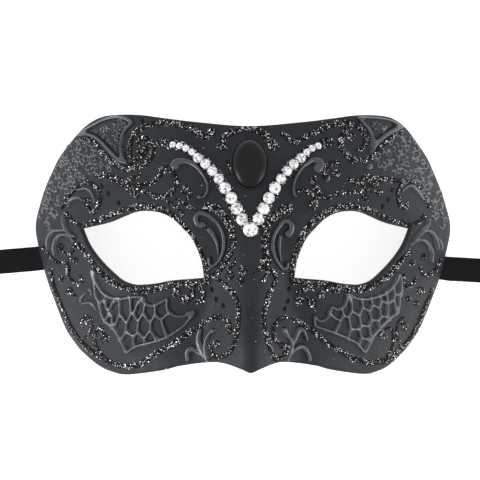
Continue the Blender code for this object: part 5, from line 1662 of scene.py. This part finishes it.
@dataclass
class GlitterWork:
    """Raised lines of black glitter glue with loose grains on them."""

    rims: ShellRims
    glue: bpy.types.Material
    grain: bpy.types.Material
    rise: float = 0.0005
    widen: float = 1.35
    trim_widen: float = 1.12
    step: float = 0.57
    margin: float = 8.0
    grains_per_unit: float = 0.85
    grain_size: tuple = (0.00022, 0.00042)
    grain_shape: tuple = (0.9, 0.5, 0.6)
    tilt: float = 0.42
    scatter: float = 0.45
    bright_share: float = 0.26
    middle_share: float = 0.40
    lumps: float = 0.00013
    loose: float = 0.00012
    # Grey shades of the grains: the light ones also stand for grains catching the light, a painted glint.
    bright: tuple = (0.55, 1.0)
    middling: tuple = (0.08, 0.25)
    dark: tuple = (0.006, 0.03)
    dust: int = 420
    dust_lift: float = 0.00004
    dust_scale: float = 0.6
    drop_step: float = 0.3
    drop_margin: float = 5.0
    drop_path: tuple = ((0.5, -1.7), (0.0, 0.0), (-0.4, 1.5))
    drop_widths: tuple = (1.6, 3.4, 2.8)

    def build(self) -> None:
        """Make every glitter piece."""
        for number, (name, figure) in enumerate(GLITTER.items()):
            self._lines(name, figure, number, name)
        for number, (name, figure) in enumerate(GLITTER_TRIM.items(), TRIM_NUMBER):
            self._lines(name, figure, number)
        for name, drops in GLUE_DROPS.items():
            self._drops(name, drops)
        self._dust()

    def _lines(self, name: str, figure: Figure, number: int, *nodes: str) -> None:
        """Raise one figure of glitter.

        Args:
            name: The piece's name.
            figure: Its strokes and dots.
            number: What sets its random grains apart.
            nodes: The CAD nodes that it stands for.
        """
        lifted = field_over(figure_points(figure), self.margin, step=self.step, **GLUE_RIDGE)
        widen = self.widen if nodes else self.trim_widen
        for stroke in figure.strokes:
            lifted.add_stroke(stroke.widened(widen), self.rise)
        for dot in figure.dots:
            lifted.add_dot(dot, self.rise)
        self.finish_field(name, lifted, number, *nodes)

    def finish_field(self, name: str, lifted: ChartField, number: int, *nodes: str) -> None:
        """Roughen a glitter field and strew grains on it.

        Args:
            name: The piece's name.
            lifted: The field with its lines raised.
            number: What sets its random grains apart.
            nodes: The CAD nodes that it stands for.
        """
        lifted.roughen(SEED + number, self.lumps)
        settle(lifted.build(name + "_glue", self.rims, self.glue), Slot.GLITTER, *nodes)
        self._strew(name + "_grains", lifted, number)

    def _strew(self, name: str, lifted: ChartField, number: int) -> None:
        """Lay tilted grains all over a raised field.

        Args:
            name: The piece's name.
            lifted: The raised field.
            number: What sets its random grains apart.
        """
        rng = np.random.default_rng(SEED + STREW_NUMBER + number)
        rows, columns = np.nonzero(lifted.lift > 0)
        pick = rng.choice(len(rows), int(len(rows) * lifted.step ** 2 * self.grains_per_unit))
        chart = np.column_stack([lifted.u[columns[pick]], lifted.v[rows[pick]]])
        chart = chart + rng.normal(0, self.scatter, chart.shape)
        plan = self.rims.surface.plan_of(chart)
        lift = np.maximum(lifted.lift_at(chart), 0) + rng.uniform(0, self.loose, len(chart))
        held = self.rims.holds(plan)
        self._grains(name, plan[held], lift[held], rng)

    def _dust(self) -> None:
        """Leave a few stray grains all over the front."""
        rng = np.random.default_rng(SEED + DUST_NUMBER)
        plan = rng.uniform(-1, 1, (self.dust, 2)) * (HALF_WIDTH, HALF_HEIGHT)
        plan = plan[self.rims.holds(plan)]
        self._grains("stray_grains", plan, np.full(len(plan), self.dust_lift), rng, self.dust_scale)

    def _grains(self, name: str, plan: Array, lift: Array, rng: np.random.Generator,
                scale: float = 1.0) -> None:
        """Make flat grains that lie about level with the shell.

        Args:
            name: The piece's name.
            plan: Their plan points.
            lift: How far each stands above the shell.
            rng: Their random source.
            scale: Size of the grains, 1 for the usual one.
        """
        count = len(plan)
        centre = self.rims.surface.over(plan, lift)
        normal = self.rims.surface.normals(plan) + rng.normal(0, self.tilt, (count, 3))
        normal /= np.linalg.norm(normal, axis=1, keepdims=True)
        aside = np.cross(normal, rng.normal(0, 1, (count, 3)))
        aside /= np.linalg.norm(aside, axis=1, keepdims=True)
        other = np.cross(normal, aside)
        size = rng.uniform(*self.grain_size, (count, 1)) * scale
        half, back, depth = self.grain_shape
        corners = np.stack([centre + aside * size, centre + (other * half - aside * back) * size,
                            centre - (other * half + aside * back) * size,
                            centre - normal * size * depth], axis=1)
        fan = np.array([(0, 1, 2), (1, 0, 3), (2, 1, 3), (0, 2, 3)])
        faces = (np.arange(count)[:, None, None] * 4 + fan[None]).reshape(-1, 3)
        points = corners.reshape(-1, 3)
        points[:, 2] = np.maximum(points[:, 2], 0)
        grains = make_object(name, points, [faces], [self.grain], smooth=False)
        # Shade each grain; its light shades are painted glints.
        kind = rng.random(count)
        bright, dark = rng.uniform(*self.bright, count), rng.uniform(*self.dark, count)
        middling = rng.uniform(*self.middling, count)
        shade = np.where(kind < self.bright_share, bright, np.where(kind < self.middle_share, middling, dark))
        paint_faces(grains, "grain_shade_and_glint", np.repeat(shade, 4))
        settle(grains, Slot.GLITTER)

    def _drops(self, name: str, drops: Sequence[tuple]) -> None:
        """Lay small drops of bare glue.

        Args:
            name: The piece's name.
            drops: Their middles on the chart.
        """
        points = np.array(drops)
        lifted = field_over(points, self.drop_margin, step=self.drop_step)
        lean = 1 if points[0, 0] > CHART_ORIGIN_U else -1
        for point in points:
            path = point + np.array(self.drop_path) * (lean, 1)
            lifted.add_path(path, np.array(self.drop_widths), self.rise)
        settle(lifted.build(name, self.rims, self.glue), Slot.GLITTER)


@dataclass
class ForeheadCabochon:
    """The oval dome on the forehead and the raised bed round it."""

    surface: MaskSurface
    glass: bpy.types.Material
    paint: bpy.types.Material
    width: float = 0.0154
    length: float = 0.0217
    rise: float = 0.0048
    border: float = 0.0007
    seat_rise: float = 0.0010
    up: float = 0.610
    sides: int = 96
    rings: int = 26
    foot_share: float = 0.97
    lip: float = 0.1
    fullness: float = 2.1
    core: float = 0.05
    seat_profile: tuple = ((1.0, -0.3), (0.92, 0.45), (0.75, 0.85), (0.5, 1.05), (0.2, 1.1), (-0.1, 0.95),
                           (-0.5, 0.9))

    def build(self) -> None:
        """Make the dome and its bed."""
        centre = np.array([[0.0, self.up * HALF_HEIGHT]])
        normal = Vector(self.surface.normals(centre)[0])
        low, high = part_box("forehead_cabochon")
        middle = (low + high) / 2
        foot = middle - normal * (self.rise / 2)
        self._dome(foot, normal)
        self._seat(centre)

    def _ring(self, share: float, swell: float = 0.0) -> Array:
        """Points round an oval at a share of the dome's half sizes."""
        turns = np.linspace(0, 2 * math.pi, self.sides, endpoint=False)
        size = np.array([self.width / 2 * share + swell, self.length / 2 * share + swell])
        return np.column_stack([np.cos(turns), np.sin(turns)]) * size

    def _dome(self, foot: Vector, normal: Vector) -> None:
        """Make the polished dome.

        Args:
            foot: Middle of its flat back.
            normal: Direction that it faces.
        """
        heights = np.sin(np.linspace(0, math.pi / 2, self.rings))[:-1]
        layers = [np.column_stack([self._ring(self.foot_share), np.zeros(self.sides)])]
        for share in heights:
            ring = self._ring(math.sqrt(1 - share ** self.fullness))
            height = self.rise * (self.lip + (1 - self.lip) * share)
            layers.append(np.column_stack([ring, np.full(self.sides, height)]))
        tip = np.array([[0, 0, self.rise], [0, 0, 0]])
        points = np.vstack([*layers, tip])
        count = len(layers) * self.sides
        start = np.arange(self.sides)
        beside = (start + 1) % self.sides
        last = (len(layers) - 1) * self.sides
        caps = np.vstack([np.column_stack([start + last, beside + last, np.full(self.sides, count)]),
                          np.column_stack([beside, start, np.full(self.sides, count + 1)])])
        dome = make_object("black_dome", points, [band_quads(self.sides, len(layers)), caps], [self.glass])
        turn = normal.to_track_quat("Z", "Y").to_matrix().to_4x4()
        dome.data.transform(Matrix.Translation(foot) @ turn)
        settle(dome, Slot.CABOCHON, "forehead_cabochon")

    def _seat(self, centre: Array) -> None:
        """Make the rounded bed that the dome sits in.

        Args:
            centre: Plan point of the dome's middle.
        """
        layers = [self.surface.over(centre + self._ring(1.0, out * self.border), rise * self.seat_rise)
                  for out, rise in self.seat_profile]
        core = centre + self._ring(self.core)
        for _, rise in (self.seat_profile[-1], self.seat_profile[0]):
            layers.append(self.surface.over(core, rise * self.seat_rise))
        quads = band_quads(self.sides, len(layers), closed=True)
        seat = make_object("cabochon_bed", np.vstack(layers), [quads], [self.paint])
        settle(seat, Slot.SHELL, "cabochon_seat")


@dataclass
class StoneRow:
    """The V of cut stones and the glitter beds below them."""

    surface: MaskSurface
    crystal: bpy.types.Material
    glitter: GlitterWork
    depth_share: float = 0.42
    swell: float = 1.07
    facets: int = 8
    girdle_share: float = 0.30
    waist: tuple = (0.80, 0.72)
    table_share: float = 0.56
    crest: float = 1.01
    # Shades of the facets, a painted reflection: light on most facets and painted dark on some.
    flash: tuple = (0.70, 1.0)
    painted_dark_facet: float = 0.30
    painted_dark_share: float = 0.26
    bed_step: float = 0.54
    bed_rise: float = 0.0006
    bed_border: float = 1.8
    bed_knob: float = 4.6
    bed_margin: float = 9.0
    bed_tail: float = 1.5
    bed_flare: float = 1.0

    def build(self) -> None:
        """Make the stones and their beds."""
        self._stone("rhinestone_centre", STONE_CENTRE, 0)
        for name, sizes in (("left", LEFT_STONES), ("right", RIGHT_STONES)):
            for number, size in enumerate(sizes, 1):
                apart = RIGHT_NUMBER if name == "right" else 0
                self._stone(f"rhinestone_{name}_{number:02d}", size, number + apart)
        for number, side in enumerate(("left", "right"), BED_NUMBER):
            self._bed(f"stone_bed_{side}", side, number)

    def _stone(self, node: str, diameter: float, number: int) -> None:
        """Cut one stone where its solid is.

        Args:
            node: The CAD node that it stands for.
            diameter: Its width.
            number: What sets its flashes apart.
        """
        rng = np.random.default_rng(SEED + number)
        radius = diameter / 2 * self.swell
        depth = diameter * self.depth_share
        low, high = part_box(node)
        middle = (low + high) / 2
        normal = Vector(self.surface.normals(np.array([[middle.x, middle.y]]))[0])
        foot = middle - normal * (depth / 2)
        count, radius_in = self.facets, radius * self.waist[0]
        points = np.vstack([
            self._ring(2 * count, 0.0, radius, 0.0),
            self._ring(2 * count, 0.0, radius, depth * self.girdle_share),
            self._ring(count, math.pi / count, radius_in, depth * self.waist[1]),
            self._ring(count, 0.0, radius * self.table_share, depth),
            np.array([[0, 0, depth * self.crest]])])
        upper, star, flat, tip = 2 * count, 4 * count, 5 * count, 6 * count
        i, k = np.arange(count), np.arange(2 * count)
        kites = np.column_stack([upper + 2 * i, star + i, flat + i, star + (i - 1) % count])
        stars = np.column_stack([star + i, flat + (i + 1) % count, flat + i])
        rims = np.vstack([np.column_stack([upper + 2 * i, upper + 2 * i + 1, star + i]),
                          np.column_stack([upper + 2 * i + 1, upper + (2 * i + 2) % (2 * count), star + i])])
        band = band_quads(2 * count, 2)
        top = np.column_stack([flat + i, flat + (i + 1) % count, np.full(count, tip)])
        faces = [kites, band, stars, rims, top, k[None, ::-1]]
        stone = make_object(node + "_cut", points, faces, [self.crystal], smooth=False)
        # Paint each facet's reflection into its colour: mostly light, some dark.
        flash = rng.uniform(*self.flash, sum(len(part) for part in faces))
        flash[rng.random(len(flash)) < self.painted_dark_share] = self.painted_dark_facet
        paint_faces(stone, "painted_facet_flash", flash)
        spin = Matrix.Rotation(rng.uniform(0, 2 * math.pi / count), 4, "Z")
        turn = normal.to_track_quat("Z", "Y").to_matrix().to_4x4()
        stone.data.transform(Matrix.Translation(foot) @ turn @ spin)
        settle(stone, Slot.CRYSTAL, node)

    def _ring(self, count: int, turn: float, radius: float, height: float) -> Array:
        """Points evenly round a stone's axis."""
        turns = np.arange(count) * 2 * math.pi / count + turn
        return np.column_stack([np.cos(turns) * radius, np.sin(turns) * radius, np.full(count, height)])

    def _bed(self, node: str, side: str, number: int) -> None:
        """Raise the glitter bed below one arm.

        Args:
            node: The CAD node that it stands for.
            side: Which arm it is.
            number: What sets its random grains apart.
        """
        names = ["rhinestone_centre"] + [f"rhinestone_{side}_{i:02d}" for i in range(1, 13)]
        names = [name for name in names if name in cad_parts]
        spots, widths = [], []
        for name in names:
            low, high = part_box(name)
            spots.append(chart_of((low + high) / 2))
            widths.append((high.y - low.y) / CHART_UNIT_Y * self.swell)
        spots = np.array(spots)
        tail = spots[-1] + (spots[-1] - spots[-2]) * self.bed_tail
        spots = np.vstack([spots, tail])
        widths.append(widths[-1] + self.bed_flare)
        path = smooth_path(spots, EDGE_SPACING)
        lifted = field_over(spots, self.bed_margin, step=self.bed_step, **GLUE_RIDGE)
        spread = np.interp(np.linspace(0, 1, len(path)), np.linspace(0, 1, len(widths)),
                           np.array(widths) + self.bed_border)
        lifted.add_path(path, spread, self.bed_rise)
        lifted.add_dot(Dot(tail[0], tail[1], self.bed_knob), self.bed_rise)
        self.glitter.finish_field(node, lifted, number, node)


def chart_of(point: Vector) -> tuple[float, float]:
    """Chart place where a point shows.

    Args:
        point: The point, in metres.

    Returns:
        Its place to the right and down.
    """
    x, y = point.x - AXIS_POINT[0], point.y - AXIS_POINT[1]
    aside = x * math.cos(CHART_TURN) + point.z * math.sin(CHART_TURN)
    shrink = 1 - (point.z * math.cos(CHART_TURN) - x * math.sin(CHART_TURN)) / CHART_DISTANCE
    return (CHART_SIZE / 2 + aside / (shrink * CHART_UNIT_X), CHART_SIZE / 2 - y / (shrink * CHART_UNIT_Y))


@dataclass
class RibbonTie:
    """One satin ribbon, glued inside the shell and laid on the table."""

    surface: MaskSurface
    satin: bpy.types.Material
    node: str
    side: Side
    glued_up: float
    tail_up: float
    width: float = 0.011
    thickness: float = 0.0007
    tail: float = 0.0197
    glued: float = 0.0135
    clearance: float = 0.0006
    lanes: int = 9
    stations: int = 48
    knots: int = 7
    step_off: float = 0.0022
    ripple: float = 0.00018
    ripple_rate: float = 9.0
    ripple_skew: float = 3.0
    cupping: float = 0.0009
    spacing: float = 0.0004

    def build(self) -> None:
        glued_y = self.glued_up * HALF_HEIGHT
        edge = float(self.surface.edge(np.array(glued_y)))
        across = np.linspace(-0.5, 0.5, self.lanes)
        rails = np.stack([self._rail(glued_y + share * self.width, edge, share) for share in across])
        along = np.gradient(rails, axis=1)
        broad = np.gradient(rails, axis=0)
        normal = np.cross(along, broad)
        normal /= np.linalg.norm(normal, axis=2, keepdims=True)
        normal *= np.sign(normal[..., 2:3])
        half = normal * self.thickness / 2
        grid = np.vstack([(rails + half).reshape(-1, 3), (rails - half).reshape(-1, 3)])
        grid[:, 2] = np.maximum(grid[:, 2], 0)
        number = np.arange(self.lanes * self.stations).reshape(self.lanes, self.stations)
        a, b, c, d = number[:-1, :-1], number[:-1, 1:], number[1:, 1:], number[1:, :-1]
        top = np.stack([a, b, c, d], axis=-1).reshape(-1, 4)
        count = number.size
        ring = np.concatenate([number[0, :], number[1:, -1], number[-1, -2::-1], number[-2:0:-1, 0]])
        if self.side is Side.LEFT:
            top, ring = top[:, ::-1], ring[::-1]
        beyond = np.roll(ring, -1)
        walls = np.column_stack([ring, ring + count, beyond + count, beyond])
        ribbon = make_object(self.node + "_satin", grid, [np.vstack([top, top[:, ::-1] + count, walls])],
                             [self.satin])
        middle = rails[self.lanes // 2]
        settle(ribbon, Slot.SATIN, self.node)

    def _rail(self, y: float, edge: float, share: float) -> Array:
        """One line along the ribbon.

        Args:
            y: Height of the line at the glued end.
            edge: Where the shell's edge is.
            share: Place across the ribbon, from -0.5 to 0.5.

        Returns:
            The line's points.
        """
        inner = np.linspace(edge - self.glued, float(self.surface.edge(np.array(y))), self.knots)
        plan = np.column_stack([self.side.value * inner, np.full(self.knots, y)])
        glued = self.surface.over(plan, -(SHELL_WALL + self.clearance + self.thickness / 2))
        out = np.linspace(edge + self.step_off, HALF_WIDTH + self.tail, self.knots)
        reach = (out - out[0]) / (out[-1] - out[0])
        droop = (self.tail_up - self.glued_up) * HALF_HEIGHT * reach
        wave = self.ripple * (1 + np.sin(self.ripple_rate * reach + self.ripple_skew * share))
        curl = wave + self.cupping * share ** 2 * reach
        laid = np.column_stack([self.side.value * out, y + droop, self.thickness / 2 + curl])
        path = smooth_path(np.vstack([glued, laid]), self.spacing)
        stops = np.linspace(0, len(path) - 1, self.stations)
        return np.stack([np.interp(stops, np.arange(len(path)), column) for column in path.T], axis=-1)


class Softbox(NamedTuple):
    """A soft light that faces the mask, with its size in metres and its power in watts."""

    name: str
    place: tuple
    size: tuple
    power: float


@dataclass
class Studio:
    """The table, the lights and the camera."""

    board: bpy.types.Material
    board_size: float = 3.0
    board_drop: float = 0.0002
    lens_sensor: float = 36.0
    sky: float = 0.88
    softboxes: tuple = (Softbox("left_softbox", (-0.84, -0.24, 0.32), (0.42, 0.30), 3.9),
                        Softbox("right_softbox", (0.84, -0.24, 0.32), (0.42, 0.30), 2.4))

    def build(self) -> None:
        """Set the stage."""
        self._table()
        self._sky()
        self._camera()
        for softbox in self.softboxes:
            self._hang(softbox)

    def _table(self) -> None:
        """Lay the pale board."""
        mesh = bpy.data.meshes.new("table_top")
        bm = bmesh.new()
        bmesh.ops.create_grid(bm, x_segments=1, y_segments=1, size=self.board_size)
        bm.to_mesh(mesh)
        bm.free()
        mesh.materials.append(self.board)
        board = bpy.data.objects.new("table_top", mesh)
        board.location.z = -self.board_drop
        bpy.context.scene.collection.objects.link(board)

    def _sky(self) -> None:
        """Fill the room with even pale light."""
        world = bpy.data.worlds.new("studio_room")
        world.use_nodes = True
        back = world.node_tree.nodes["Background"]
        back.inputs["Color"].default_value = WHITE
        back.inputs["Strength"].default_value = self.sky
        bpy.context.scene.world = world
        bpy.context.scene.view_settings.view_transform = "Standard"

    def _camera(self) -> None:
        """Put the camera where the photograph was taken from."""
        data = bpy.data.cameras.new("camera")
        data.sensor_width = self.lens_sensor
        data.lens = self.lens_sensor * CHART_DISTANCE / (CHART_SIZE * CHART_UNIT_X)
        camera = bpy.data.objects.new("camera", data)
        toward = Vector((-math.sin(CHART_TURN), 0, math.cos(CHART_TURN)))
        right = Vector((math.cos(CHART_TURN), 0, math.sin(CHART_TURN)))
        turn = Matrix((right, Vector((0, 1, 0)), toward)).transposed().to_4x4()
        target = Vector((AXIS_POINT[0], AXIS_POINT[1], 0))
        camera.matrix_world = Matrix.Translation(target + toward * CHART_DISTANCE) @ turn
        bpy.context.scene.collection.objects.link(camera)
        bpy.context.scene.camera = camera

    def _hang(self, softbox: Softbox) -> None:
        """Hang one soft light.

        Args:
            softbox: Its name, place, size and power.
        """
        data = bpy.data.lights.new(softbox.name, "AREA")
        data.shape = "RECTANGLE"
        data.size, data.size_y = softbox.size
        data.energy = softbox.power
        light = bpy.data.objects.new(softbox.name, data)
        light.location = softbox.place
        light.rotation_euler = Vector(softbox.place).to_track_quat("Z", "Y").to_euler()
        bpy.context.scene.collection.objects.link(light)


def main() -> None:
    """Dress the whole mask."""
    logging.basicConfig(level=logging.INFO, format="%(message)s")
    surface = MaskSurface()
    rims = ShellRims(surface)
    paint = CharcoalPaint().material()
    # The stucco is the shell's charcoal paint, a little lighter as a painted highlight on the raised work,
    # and glossier.
    stucco = CharcoalPaint(name="stucco_paint", dark=(0.0172, 0.0196, 0.0228), light=(0.0240, 0.0270, 0.0312),
                           roughness=0.24, gloss=0.90).material()
    glitter = GlitterWork(rims, GlitterGlue().material(), GlitterGrain().material())
    MoldedShell(surface, rims, paint, InsidePaint().material()).build()
    StuccoWork(rims, stucco).build()
    glitter.build()
    ForeheadCabochon(surface, BlackGlass().material(), paint).build()
    StoneRow(surface, CrystalFoil().material(), glitter).build()
    satin = SatinRibbon().material()
    RibbonTie(surface, satin, "ribbon_left", Side.LEFT, -0.108, -0.138).build()
    RibbonTie(surface, satin, "ribbon_right", Side.RIGHT, -0.187, -0.209).build()
    Studio(PaleBoard().material()).build()


if __name__ == "__main__":
    main()
